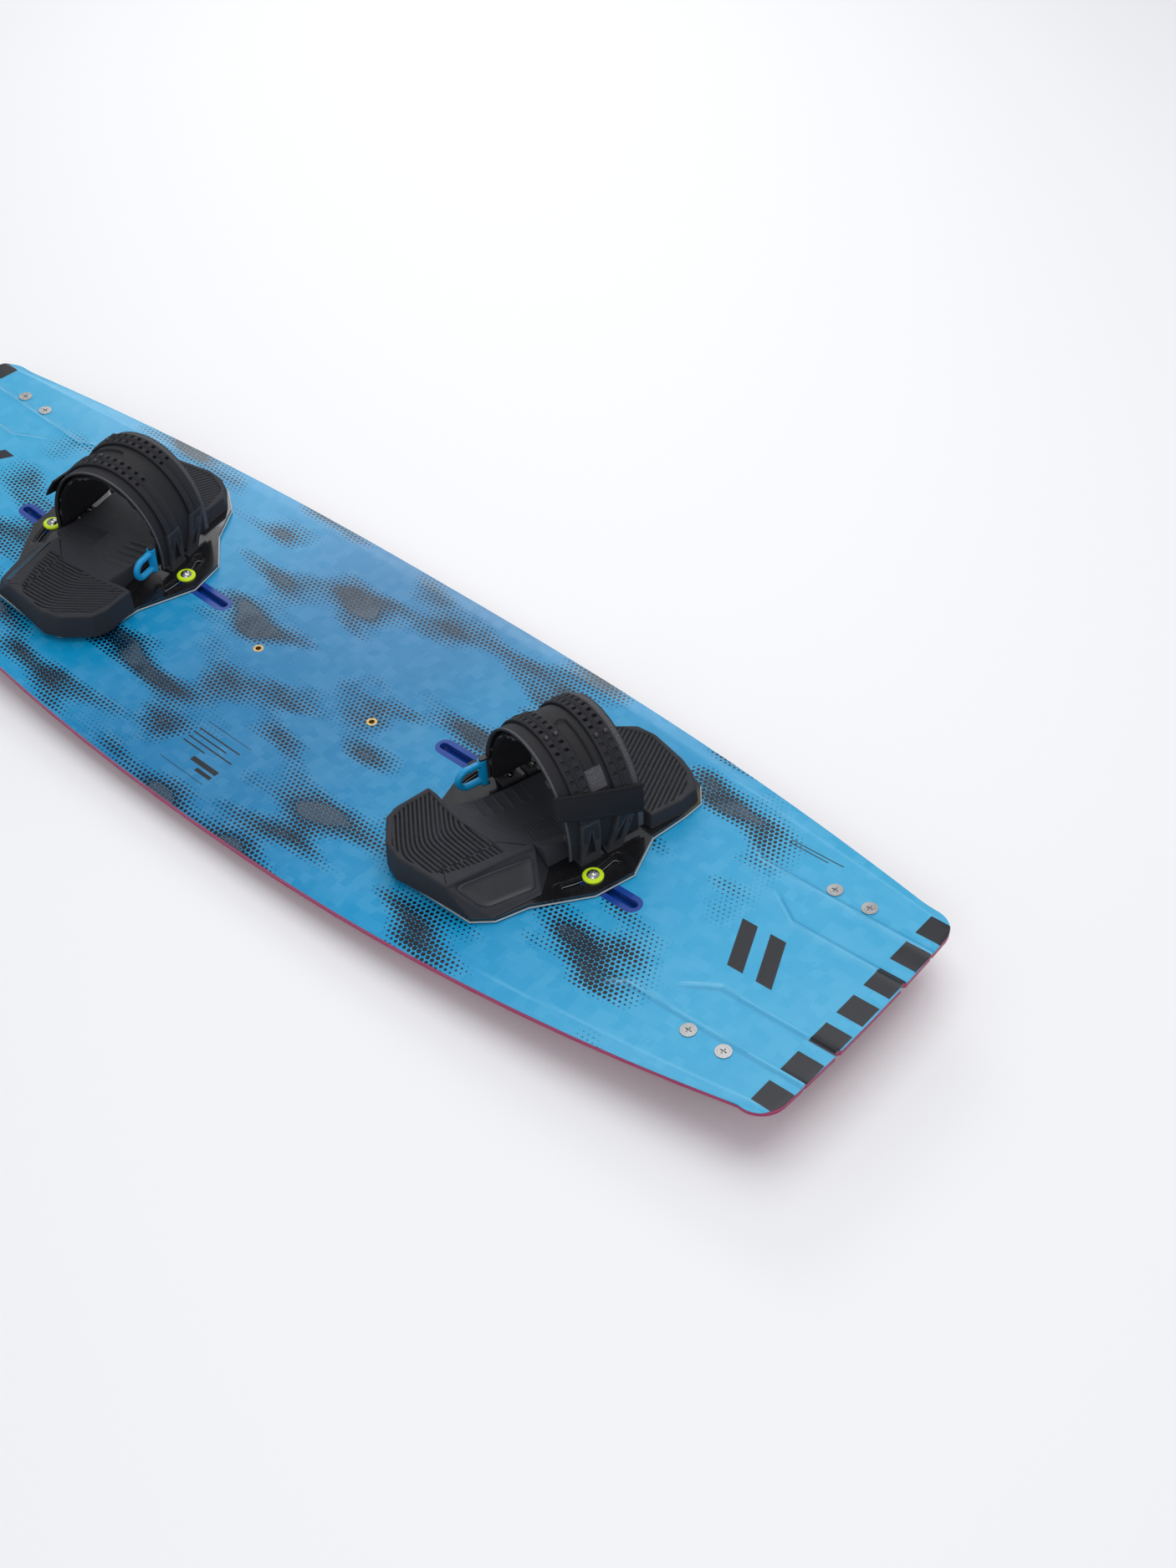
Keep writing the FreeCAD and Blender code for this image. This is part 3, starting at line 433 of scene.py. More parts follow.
heelLow = [(-36, -143), (-66, -125), (-73, -110), (-76, -71), (-64, -64), (-42, -62), (58, -27), (81, -50),
           (79, -101), (68, -118), (-16, -146.5)]
heelTop = [(-36, -141.5), (-65, -124), (-71.5, -110), (-75.5, -72), (-64, -70), (-42, -70), (44, -33), (48.6, -34),
           (45, -126), (43, -127), (-14, -143)]
grooveRegion = [(-70, -74), (-42, -73.5), (-20, -71.7), (40, -57.5), (37, -90), (31, -119), (22, -128), (-7, -138.5),
                (-30, -139), (-62, -120), (-69, -100)]


def grooveWave(phase, duty=0.34):
    f = phase - np.floor(phase)
    d = np.minimum(f, 1 - f) * 2
    return 1 - smoothStep(duty * 0.4, duty * 1.6, d)


def heelHeight(x, y):
    u = x - heelLook["bend"]
    bendLine = -0.19 * u + 0.36 * np.sqrt(u ** 2 + 64)
    shift = np.where(x > 25 + 1.5 * np.sin(y * 0.9), 0.5, 0.0)
    phase = (y - bendLine) / heelLook["pitch"] + shift
    fade = regionFade(x, y, grooveRegion, 2.2)
    z = heelLook["top"] - fade * (heelLook["sunk"] + heelLook["grooveDepth"] * grooveWave(phase))
    toeward = (y + 72) - (x + 42) * 0.17
    z = z - 0.07 * np.clip(toeward, 0, None) * smoothStep(-45, -20, x)
    edgeIn = smoothStep(43, 49, x) * 0.6
    return z - edgeIn


panelShares = [(0.09, 0.22), (0.95, 0.14), (0.97, 0.80), (0.55, 0.88), (0.10, 0.93), (0.03, 0.88), (0.03, 0.31)]
flankLow = [np.array([x, y, plateTop]) for x, y in ((79.0, -101.0), (81.0, -50.0))]
flankTop = [np.array([x, y, heelLook["top"]]) for x, y in ((45.0, -126.0), (48.6, -34.0))]
flankNormal = unit(np.cross(flankLow[1] - flankLow[0], flankTop[0] - flankLow[0]))
if flankNormal[0] < 0:
    flankNormal = -flankNormal


def flankShares(p):
    up = np.clip((p[:, 2] - plateTop) / (heelLook["top"] - plateTop), 0, 1.2)[:, None]
    a = flankLow[0] + (flankTop[0] - flankLow[0]) * up
    b = flankLow[1] + (flankTop[1] - flankLow[1]) * up
    along = np.sum((p - a) * (b - a), 1) / np.sum((b - a) ** 2, 1)
    return along, up[:, 0]


def heelWall(layer):
    along, up = flankShares(layer)
    off = np.abs((layer - flankLow[0]) @ flankNormal)
    onFlank = (off < 2.5) & (layer[:, 0] > 38)
    length, tall = 60.0, 44.0
    polygon = [(a * length, u * tall) for a, u in panelShares]
    fade = regionFade(along * length, up * tall, polygon, 1.6)
    return layer - flankNormal * (onFlank * fade * 1.1)[:, None]


def toeHeight(x, y):
    across = (0.819 * x + 0.573 * y) / toeLook["pitch"]
    region = [(52, 79), (66, 81), (67, 112), (60, 130), (44, 141), (22, 145), (-22, 145), (-50, 128), (-54, 84)]
    fade = regionFade(x, y, region, 2.0)
    return toeLook["top"] - fade * (0.6 + toeLook["grooveDepth"] * grooveWave(across))


bedSlope = np.array([(-20, 28), (2, 26.2), (20, 20.7), (40, 15.9), (60, 13.8), (100, 13.5), (190, 13.5)], float)
ribYs = [-48.5, -37.5, -26.0, -15.0, -4.5, 5.5]


def bedHeight(x, y):
    turn = math.radians(23.3)
    w = -math.sin(turn) * (x + 42) + math.cos(turn) * (y + 70)
    z = plateTop + sum(np.interp(w + s, bedSlope[:, 0], bedSlope[:, 1]) for s in (-6, -2, 2, 6)) / 4
    for ribY in ribYs:
        line = ribY - 0.10 * (x + 27)
        span = smoothStep(-42, -38, x) * (1 - smoothStep(-18, -12, x))
        z = z + bedLook["ribHeight"] * hump(y - line, bedLook["ribHalf"]) * span
    patch = regionFade(x, y, [(12, -27), (43, -32), (45, 2), (14, 6)], 2.0)
    wave = grooveWave((y + 0.12 * x) / bedLook["patchPitch"] + np.where(x > 28 + np.sin(y), 0.5, 0.0), 0.4)
    z = z - patch * bedLook["patchDepth"] * (0.4 + wave)
    return np.minimum(z, bedLook["highest"])


def bedMesh():
    left, right, toe = bedLook["left"], bedLook["right"], bedLook["toe"]
    xs = np.linspace(left, right, 100)
    rows = np.concatenate([np.linspace(0, 0.62, 150), np.linspace(0.62, 1, 40)[1:]])
    x, r = np.meshgrid(xs, rows, indexing="ij")
    startTop = -70 + (x + 42) * (37 / 86) - 1.4
    startLow = np.minimum(-62 + (x + 42) * 0.35, 60) + 0.8
    yTop = startTop + r * (toe - startTop)
    yLow = startLow + r * (toe - startLow)
    z = bedHeight(x, yTop)
    edge = np.minimum.reduce([x - left, right - x, toe - yTop])
    z = z - 2.0 * np.clip(1 - edge / 2.5, 0, 1) ** 2
    top = np.dstack([x, yTop, z])
    low = np.dstack([x, yLow, np.full(x.shape, padLow)])
    verts, faces = gridSolid(top, low)[:2]
    return verts, faces, verts[:, :2].copy()


# Strap layers: every one follows an arch of straight legs and a half ellipse
def archPath(look, count=120, inset=0.0, end=90.0):
    span, height = look["span"] - inset, look["height"] - inset
    t = np.radians(np.linspace(-end, end, count))
    x, z = span * np.sin(t), springHeight + (height - springHeight) * np.cos(t)
    nx, nz = np.sin(t) / span, np.cos(t) / (height - springHeight)
    if end == 90:
        legs = np.linspace(look["foot"], springHeight, 8)[:-1]
        x = np.concatenate([np.full(7, -span), x, np.full(7, span)])
        z = np.concatenate([legs, z, legs[::-1]])
        nx = np.concatenate([np.full(7, -1.0), nx, np.full(7, 1.0)])
        nz = np.concatenate([np.zeros(7), nz, np.zeros(7)])
        t = np.concatenate([np.full(7, t[0]), t, np.full(7, t[-1])])
    n = np.hypot(nx, nz)
    s = np.concatenate([[0], np.cumsum(np.hypot(np.diff(x), np.diff(z)))])
    return x, z, nx / n, nz / n, s, np.degrees(t)


def sleeveMesh(path, ys, outer, thickness, edgeRound):
    x, z, nx, nz, s, t = path
    yGrid, tGrid = np.meshgrid(ys, t)
    sGrid = np.repeat(s[:, None], len(ys), 1)
    lift = outer(yGrid, tGrid, sGrid)
    edge = np.minimum(yGrid - ys[0], ys[-1] - yGrid)
    dip = edgeRound - np.sqrt(np.maximum(edgeRound ** 2 - np.clip(edgeRound - edge, 0, None) ** 2, 0))
    lift = lift - dip
    deep = -thickness + dip * 0.8
    deep = np.minimum(deep, lift - 0.3)

    def place(h):
        return np.dstack([x[:, None] + nx[:, None] * h, yGrid, z[:, None] + nz[:, None] * h])
    verts, faces, used = gridSolid(place(lift), place(deep))
    uvAll = np.stack([sGrid.ravel(), yGrid.ravel()], -1)
    uvAll = np.concatenate([uvAll, uvAll])[used]
    return verts, faces, uvAll


def roundProfile(low, high, step, margin):
    edge = np.array([0, 0.15, 0.4, 0.8, 1.3, 2.0, 3.0, 4.2])
    edge = edge[edge < margin]
    inner = np.arange(low + margin, high - margin + 0.01, step)
    return np.concatenate([low + edge, inner, (high - edge)[::-1]])


def evaluated(piece):
    graph = bpy.context.evaluated_depsgraph_get()
    mesh = bpy.data.meshes.new_from_object(piece.evaluated_get(graph))
    coords = np.zeros(len(mesh.vertices) * 3)
    mesh.vertices.foreach_get("co", coords)
    return mesh, coords.reshape(-1, 3)


def archCoordinates(p, look):
    x, z = p[:, 0], p[:, 2]
    a, b = look["span"], look["height"] - springHeight
    path = archPath(look, 160)
    angle = np.degrees(np.arctan2(x / a, np.maximum(z - springHeight, 0) / b))
    s = np.interp(angle, path[5][7:-7], path[4][7:-7])
    s = s + np.where(z < springHeight, np.sign(x) * (springHeight - z), 0)
    share = np.where(z > springHeight, np.hypot(x / a, (z - springHeight) / b), np.abs(x) / a)
    return s, share


def puffed(verts, faces, look, cap=3.0, voxel=0.0042):
    piece = addMesh("puffing", verts, faces, smooth=False)
    remesh = piece.modifiers.new("remesh", "REMESH")
    remesh.mode, remesh.voxel_size = "VOXEL", voxel
    mesh, start = evaluated(piece)
    piece.modifiers.clear()
    piece.data = mesh
    group = piece.vertex_groups.new(name="held")
    held = np.where((start[:, 2] * 1000 < look["foot"] + 5))[0]
    group.add(held.tolist(), 1.0, "REPLACE")
    cloth = piece.modifiers.new("cloth", "CLOTH")
    cloth.settings.use_pressure = True
    cloth.settings.uniform_pressure_force = 4.0
    cloth.settings.vertex_group_mass = "held"
    cloth.settings.bending_stiffness = 0.5
    cloth.settings.effector_weights.gravity = 0
    cloth.point_cache.frame_start, cloth.point_cache.frame_end = 1, 20
    for step in range(1, 21):
        bpy.context.scene.frame_set(step)
    ended = evaluated(piece)[1]
    move = ended - start
    length = np.linalg.norm(move, axis=1, keepdims=True)
    ended = start + move * np.minimum(1, cap / 1000 / np.maximum(length, 1e-9))
    piece.modifiers.clear()
    mesh.vertices.foreach_set("co", ended.ravel())
    mesh.update()
    piece.modifiers.new("even", "SMOOTH").iterations = 3
    piece.modifiers.new("finer", "SUBSURF").levels = 1
    mesh, coords = evaluated(piece)
    faces = [tuple(q.vertices) for q in mesh.polygons]
    bpy.data.objects.remove(piece)
    coords = coords * 1000
    s, share = archCoordinates(coords, look)
    limit = np.clip(share, 1 - (look["thickness"] - 0.2) / look["span"], 1 - 0.35 / look["span"])
    seams = sum(hump(coords[:, 1] - y, 1.3) for y in (look["front"] + 6, look["rear"] - 6))
    outside = share > 1 - look["thickness"] / 2 / look["span"]
    limit = limit - np.where(outside, 1, -1) * seams * 0.9 / look["span"]
    scale = limit / share
    above = coords[:, 2] > springHeight
    coords[:, 2] = np.where(above, springHeight + (coords[:, 2] - springHeight) * scale, coords[:, 2])
    coords[:, 0] = coords[:, 0] * scale
    coords[:, 1] = np.clip(coords[:, 1], look["front"] + 0.1, look["rear"] - 0.1)
    coords[:, 2] = np.maximum(coords[:, 2], look["foot"] + 0.05)
    return coords, faces, np.stack([s, coords[:, 1]], -1)


def linerOuter(y, t, s):
    mid = (linerLook["front"] + linerLook["rear"]) / 2
    stitches = sum(hump(y - stitch, 1.0) for stitch in (-8.5, 68.5))
    quilt = np.cos(s / 9.0) * hump(y - mid, 60)
    return 0.075 * quilt - 0.7 * stitches - 0.25


def shellOuter(y, t, s):
    h = -0.15 + 0.0 * y
    for piping in (-10.6, 70.6):
        h = h + 0.6 * hump(y - piping, 0.9) - 0.35 * hump(y - piping * 0.93, 0.8)
    ends = np.clip(np.maximum(2 - t, t - 42) * 1.55, 0, None)
    d = np.hypot(np.abs(y - 30), ends)
    window = 1 - smoothStep(4.8, 6.0, d)
    rim = hump(d - 6.8, 0.8)
    patch = smoothStep(42.5, 43.5, t) * (1 - smoothStep(57.5, 58.5, t))
    patch = patch * smoothStep(20.5, 21.5, y) * (1 - smoothStep(39.5, 40.5, y))
    return h - 1.9 * window + 0.7 * rim - 0.35 * patch


def ladderOuter(middle):
    def outer(y, t, s):
        v = y - middle
        h = -0.25 - 0.35 * smoothStep(7.6, 9.6, np.abs(v)) + 0.75 * hump(v, 0.65)
        h = h - 0.4 * hump(np.abs(v) - 1.6, 0.5)
        k = (t - ladderLook["firstHole"]) / ladderLook["pitch"]
        near = np.abs(k - np.round(k)) * ladderLook["pitch"] * 1.6
        live = (np.round(k) >= 0) & (np.round(k) < ladderLook["holes"])
        dv = np.abs(np.abs(v) - ladderLook["column"])
        box = np.maximum(near / 2.0, dv / 2.1)
        hole = (1 - smoothStep(0.82, 1.05, box)) * live
        depth = np.where(np.round(k) < 9, 3.0, 1.0)
        collar = hump(box - 1.35, 0.22) * live * 0.45
        rungs = 0.3 * hump(near - 5.6, 0.9) * (dv < 3)
        return h - hole * depth + collar + rungs * live
    return outer


def domeMesh(radius, height):
    profile = [(radius, -1.2), (radius, height * 0.45), (radius * 0.93, height * 0.72),
               (radius * 0.72, height * 0.92), (radius * 0.4, height), (0.0001, height * 1.02)]
    n = 20
    angle = np.arange(n) * 2 * math.pi / n
    rings = [np.column_stack([r * np.cos(angle), r * np.sin(angle), np.full(n, h)]) for r, h in profile]
    return stacked(rings)


def onArch(span, height, angle, y, verts):
    t = math.radians(angle)
    nx, nz = math.sin(t) / span, math.cos(t) / (height - springHeight)
    n = math.hypot(nx, nz)
    nx, nz = nx / n, nz / n
    spot = np.array([span * math.sin(t), y, springHeight + (height - springHeight) * math.cos(t)])
    return spot + verts @ np.array([(nz, 0, -nx), (0, 1, 0), (nx, 0, nz)])


def joined(parts):
    verts, faces, start = [], [], 0
    for v, f in parts:
        verts.append(v)
        faces += [tuple(np.array(q) + start) for q in f]
        start += len(v)
    verts = np.concatenate(verts)
    return verts, faces, verts[:, :2].copy()


def bandMesh():
    a, b, c, d = (np.array(p) for p in bandLook["corners"])
    u = np.linspace(0, 1, 110)
    w = np.concatenate([[0, 0.01, 0.03, 0.06], np.linspace(0.1, 0.9, 26), [0.94, 0.97, 0.99, 1]])
    uu, ww = np.meshgrid(u, w, indexing="ij")
    y, z = ((d[k] * (1 - uu) + c[k] * uu) * (1 - ww) + (a[k] * (1 - uu) + b[k] * uu) * ww for k in (0, 1))
    share = (z - springHeight) / (bandLook["height"] - springHeight)
    x = bandLook["span"] * np.sqrt(np.maximum(1 - share ** 2, 0))
    nx, nz = x / bandLook["span"] ** 2, (z - springHeight) / (bandLook["height"] - springHeight) ** 2
    n = np.hypot(nx, nz)
    nx, nz = nx / n, nz / n
    across, along = np.minimum(ww, 1 - ww) * bandLook["width"], np.minimum(uu, 1 - uu) * bandLook["length"]
    hem = 0.35 * hump(across - 2.4, 0.9) - 0.3 * hump(across - 4.4, 0.5)
    edge = 0.9 * np.clip(1 - np.minimum(across, along) / 1.2, 0, 1) ** 2
    sag = 0.5 * np.sin(uu * 9) * np.sin(ww * math.pi)
    h = -0.5 + hem - edge + 0.35 * sag
    top = np.dstack([x + nx * h, y, z + nz * h])
    low = np.dstack([x - nx * 2.6, y, z - nz * 2.6])
    verts, faces, used = gridSolid(top, low)
    uv = np.stack([uu.ravel() * bandLook["length"], ww.ravel() * bandLook["width"]], -1)
    uv = np.concatenate([uv, uv])[used]
    a, b, c = verts[faces[len(u) * 5][:3]]
    return verts, faces if np.cross(b - a, c - b)[0] > 0 else faces[:, ::-1], uv


def teethMesh():
    w, d, h = teethLook["halfWidth"], teethLook["halfDepth"], teethLook["height"]
    square = np.array([(-d, -w, 0), (d, -w, 0), (d, w, 0), (-d, w, 0)])
    tooth = np.concatenate([square, square * (0.8, 0.35, 0) + (0, 0, h)])
    faces = [(3, 2, 1, 0), (4, 5, 6, 7), (0, 1, 5, 4), (1, 2, 6, 5), (2, 3, 7, 6), (3, 0, 4, 7)]
    parts = []
    for side, radius, step in product((0, 180), teethLook["rings"], range(-10, 11)):
        angle = math.radians(side + step * teethLook["pitchAngle"])
        turn = np.array([(math.cos(angle), math.sin(angle), 0), (-math.sin(angle), math.cos(angle), 0), (0, 0, 1)])
        parts.append(((tooth + (radius, 0, 0)) @ turn + (0, 0, teethLook["foot"]), faces))
    return joined(parts)


def panelMesh():
    ends = [flankLow[k] + (flankTop[k] - flankLow[k]) * np.array(panelShares)[:, 1:] for k in (0, 1)]
    along = np.array(panelShares)[:, :1]
    loop = ends[0] * (1 - along) + ends[1] * along
    loop = denseLoops([loop], 1.5, 6)[0]
    loop = loop - flankNormal * ((loop - flankLow[0]) @ flankNormal)[:, None]
    centre = loop.mean(0)
    profile = ((0.95, -2.2), (0.95, -0.9), (0.935, -0.55), (0.90, -0.45), (0.86, -0.5), (0.84, -0.75), (0.6, -0.78),
               (0.3, -0.8), (0.02, -0.8))
    layers = [centre + (loop - centre) * f + flankNormal * h for f, h in profile]
    verts, faces = stacked(layers)
    a, b, c = verts[list(faces[len(faces) // 2][:3])]
    if np.cross(b - a, c - b) @ flankNormal < 0:
        faces = [face[::-1] for face in faces]
    return verts, faces, verts[:, 1:3].copy()


# Materials
def link(source, target):
    target.id_data.links.new(source, target)


def feed(value, target):
    if isinstance(value, bpy.types.NodeSocket):
        link(value, target)
    elif isinstance(value, tuple):
        target.default_value = (*value, 1.0)
    else:
        target.default_value = value


def treeOf(*values):
    return next(v.id_data for v in values if isinstance(v, bpy.types.NodeSocket))


def mathNode(operation, *values):
    node = treeOf(*values).nodes.new("ShaderNodeMath")
    node.operation = operation
    for value, target in zip(values, node.inputs):
        feed(value, target)
    return node.outputs[0]


plus, minus, times, over = (partial(mathNode, op) for op in ("ADD", "SUBTRACT", "MULTIPLY", "DIVIDE"))
scaled, most = (partial(mathNode, op) for op in ("MULTIPLY_ADD", "MAXIMUM"))  # scaled(a, b, c) is a * b + c


def output(tree, kind, label):
    return tree.nodes.new("ShaderNode" + kind).outputs[label]


def planAxes(tree, kind="Object"):
    split = tree.nodes.new("ShaderNodeSeparateXYZ")
    link(output(tree, "TexCoord", kind), split.inputs[0])
    return split.outputs["X"], split.outputs["Y"]


def mapped(vector, scale, angle=0.0, place=(0, 0, 0)):
    node = treeOf(vector).nodes.new("ShaderNodeMapping")
    link(vector, node.inputs["Vector"])
    for label, value in (("Scale", scale), ("Rotation", (0, 0, math.radians(angle))), ("Location", place)):
        node.inputs[label].default_value = value
    return node.outputs[0]


def mixColour(share, a, b, blend="MIX"):
    node = treeOf(share, a, b).nodes.new("ShaderNodeMix")
    node.data_type, node.blend_type = "RGBA", blend
    for value, label in ((share, "Factor"), (a, "A"), (b, "B")):
        feed(value, node.inputs[label])
    return node.outputs["Result"]


def ramp(value, low, high, smooth=True):
    node = treeOf(value).nodes.new("ShaderNodeMapRange")
    node.interpolation_type = "SMOOTHSTEP" if smooth else "LINEAR"
    link(value, node.inputs["Value"])
    node.inputs["From Min"].default_value, node.inputs["From Max"].default_value = low, high
    return node.outputs["Result"]


def newGroup(name, inputs, outputs):
    tree = bpy.data.node_groups.new(name, "ShaderNodeTree")
    for label, kind, value in inputs:
        s = tree.interface.new_socket(label, in_out="INPUT", socket_type=kind)
        if value is not None:
            s.default_value = value
    for label, kind in outputs:
        tree.interface.new_socket(label, in_out="OUTPUT", socket_type=kind)
    return tree, tree.nodes.new("NodeGroupInput"), tree.nodes.new("NodeGroupOutput")


def noiseNode(vector, scale, detail, rough=0.55):
    node = treeOf(vector).nodes.new("ShaderNodeTexNoise")
    link(vector, node.inputs["Vector"])
    feed(scale, node.inputs["Scale"])
    node.inputs["Detail"].default_value = detail
    node.inputs["Roughness"].default_value = rough
    return node.outputs["Fac"]


def grainGroup():
    tree, gin, gout = newGroup("grain", [("Scale", "NodeSocketFloat", 900.0), ("Amount", "NodeSocketFloat", 0.3)],
                               [("Fine", "NodeSocketFloat"), ("Broad", "NodeSocketFloat")])
    coord = output(tree, "TexCoord", "Object")
    fine = noiseNode(coord, gin.outputs["Scale"], 2.0)
    broad = noiseNode(coord, times(gin.outputs["Scale"], 0.03), 4.0)
    for source, name in ((fine, "Fine"), (broad, "Broad")):
        centred = minus(source, 0.5)
        link(times(centred, gin.outputs["Amount"]), gout.inputs[name])
    return tree


def weaveGroup():
    tree, gin, gout = newGroup("weave", [("Pitch", "NodeSocketFloat", 0.001)],
                               [("Height", "NodeSocketFloat"), ("Melange", "NodeSocketFloat")])
    waves = [mathNode("SINE", times(over(axis, gin.outputs["Pitch"]), 2 * math.pi)) for axis in planAxes(tree, "UV")]
    link(scaled(times(*waves), 0.5, 0.5), gout.inputs["Height"])
    stretched = mapped(output(tree, "TexCoord", "UV"), (1, 3.2, 1))
    link(noiseNode(stretched, 620.0, 3.0, 0.7), gout.inputs["Melange"])
    return tree


def wearGroup():
    tree, gin, gout = newGroup("edgeWear", [("Radius", "NodeSocketFloat", 0.0004)],
                               [("Mask", "NodeSocketFloat"), ("Normal", "NodeSocketVector")])
    soft = tree.nodes.new("ShaderNodeBevel")
    soft.samples = 4
    link(gin.outputs["Radius"], soft.inputs["Radius"])
    flat = output(tree, "NewGeometry", "Normal")
    dot = tree.nodes.new("ShaderNodeVectorMath")
    dot.operation = "DOT_PRODUCT"
    link(soft.outputs[0], dot.inputs[0])
    link(flat, dot.inputs[1])
    link(ramp(dot.outputs["Value"], 0.995, 0.86), gout.inputs["Mask"])
    link(soft.outputs[0], gout.inputs["Normal"])
    return tree


grain, weave, wear = grainGroup(), weaveGroup(), wearGroup()


def startMaterial(name, roughness=0.5, metallic=0.0, coat=0.0, specular=0.5):
    material = bpy.data.materials.new(name)
    material.use_nodes = True
    tree = material.node_tree
    shader = tree.nodes["Principled BSDF"]
    for label, value in (("Roughness", roughness), ("Metallic", metallic), ("Coat Weight", coat),
                         ("Specular IOR Level", specular)):
        shader.inputs[label].default_value = value
    return material, tree, shader


def groupNode(tree, group, **values):
    node = tree.nodes.new("ShaderNodeGroup")
    node.node_tree = group
    for key, value in values.items():
        node.inputs[key].default_value = value
    return node


def grained(tree, scale, amount=1.0):
    node = groupNode(tree, grain, Scale=scale, Amount=amount)
    return node.outputs["Fine"], node.outputs["Broad"]


def finish(shader, colour, rough, height, strength, distance, normal=None):
    link(colour, shader.inputs["Base Color"])
    if rough:
        link(rough, shader.inputs["Roughness"])
    node = shader.id_data.nodes.new("ShaderNodeBump")
    node.inputs["Strength"].default_value, node.inputs["Distance"].default_value = strength, distance
    link(height, node.inputs["Height"])
    if normal:
        link(normal, node.inputs["Normal"])
    link(node.outputs[0], shader.inputs["Normal"])


def shade(colour, factor):
    return tuple(min(1, c * factor) for c in colour)


def plainMaterial(name, colour, wornColour, roughness, metallic=0.0, coat=0.0, scale=900.0, radius=0.0004,
                  spread=0.35):
    material, tree, shader = startMaterial(name, roughness, metallic, coat)
    fine, broad = grained(tree, scale)
    base = mixColour(scaled(broad, 0.5, 0.5), shade(colour, 1 - spread), shade(colour, 1 + spread))
    worn = groupNode(tree, wear, Radius=radius)
    base = mixColour(times(worn.outputs["Mask"], 0.45), base, wornColour)
    finish(shader, base, scaled(broad, 0.25, roughness), fine, 0.5, 0.00003, worn.outputs["Normal"])
    return material


def foamMaterial(name, colour, light):
    material, tree, shader = startMaterial(name, 0.72, specular=0.35)
    fine, broad = grained(tree, 2600.0)
    base = mixColour(scaled(grained(tree, 300.0)[1], 0.8, 0.5), shade(colour, 0.75), shade(colour, 1.3))
    # painted shade in the hollows and grooves (low pointiness), then a painted highlight on ridges and edges (high
    # pointiness)
    point = output(tree, "NewGeometry", "Pointiness")
    base = mixColour(ramp(point, 0.495, 0.44), base, shade(colour, 0.12))
    base = mixColour(times(ramp(point, 0.52, 0.60), 0.55), base, light)
    finish(shader, base, scaled(broad, 0.2, 0.7), fine, 0.6, 0.00012)
    return material


def between(value, low, high, soft=0.4):
    rising = ramp(value, (low - soft) / 1000, (low + soft) / 1000)
    return times(rising, ramp(value, (high + soft) / 1000, (high - soft) / 1000))


def boxMask(x, y, x0, x1, y0, y1, soft=0.4):
    return times(between(x, x0, x1, soft), between(y, y0, y1, soft))


def textileMaterial(name, colour, melange, pitch, zones, distance=0.0002, roughness=0.85, patch=None):
    material, tree, shader = startMaterial(name, roughness, specular=0.3)
    w = groupNode(tree, weave, Pitch=pitch)
    x, y = planAxes(tree, "UV")
    base = mixColour(w.outputs["Height"], shade(colour, 0.6), shade(colour, 1.35))
    heather = mixColour(ramp(w.outputs["Melange"], 0.42, 0.62), shade(melange, 0.35), melange)
    masks = [between(y, low, high, 0.6) for low, high in zones]
    if patch:
        masks.append(boxMask(x, y, *patch, 20.9, 40.1))
    if masks:
        base = mixColour(reduce(most, masks), base, heather)
    rough = scaled(w.outputs["Melange"], 0.25, roughness - 0.15)
    finish(shader, base, rough, plus(w.outputs["Height"], w.outputs["Melange"]), 0.6, distance)
    return material


def halftoneGroup():
    tree, gin, gout = newGroup("halftone", [("Pitch", "NodeSocketFloat", 0.0055), ("Row", "NodeSocketFloat", 0.0048)],
                               [("Dots", "NodeSocketFloat"), ("Density", "NodeSocketFloat")])
    x, y = planAxes(tree)
    flat = tree.nodes.new("ShaderNodeCombineXYZ")
    link(x, flat.inputs[0])
    link(y, flat.inputs[1])
    cloud = noiseNode(mapped(flat.outputs[0], (7.2, 18.0, 1), 38.0, (3.1, 1.7, 0)), 1.0, 1.5, 0.45)
    extent = ramp(mathNode("ABSOLUTE", x), 0.545, 0.46)
    density = times(ramp(cloud, 0.475, 0.64, False), extent)
    best = None
    for shift in (0.0, 0.5):
        double = times(gin.outputs["Row"], 2.0)
        px, py = (minus(mathNode("FLOORED_MODULO", plus(over(value, pitch), shift), 1.0), 0.5)
                  for value, pitch in ((x, gin.outputs["Pitch"]), (y, double)))
        py = times(py, over(double, gin.outputs["Pitch"]))
        d = mathNode("SQRT", plus(times(px, px), times(py, py)))
        best = d if best is None else mathNode("MINIMUM", best, d)
    radius = scaled(mathNode("POWER", density, 0.6), 0.54, -0.04)
    dots = ramp(minus(radius, best), -0.03, 0.03)
    link(dots, gout.inputs["Dots"])
    link(density, gout.inputs["Density"])
    return tree


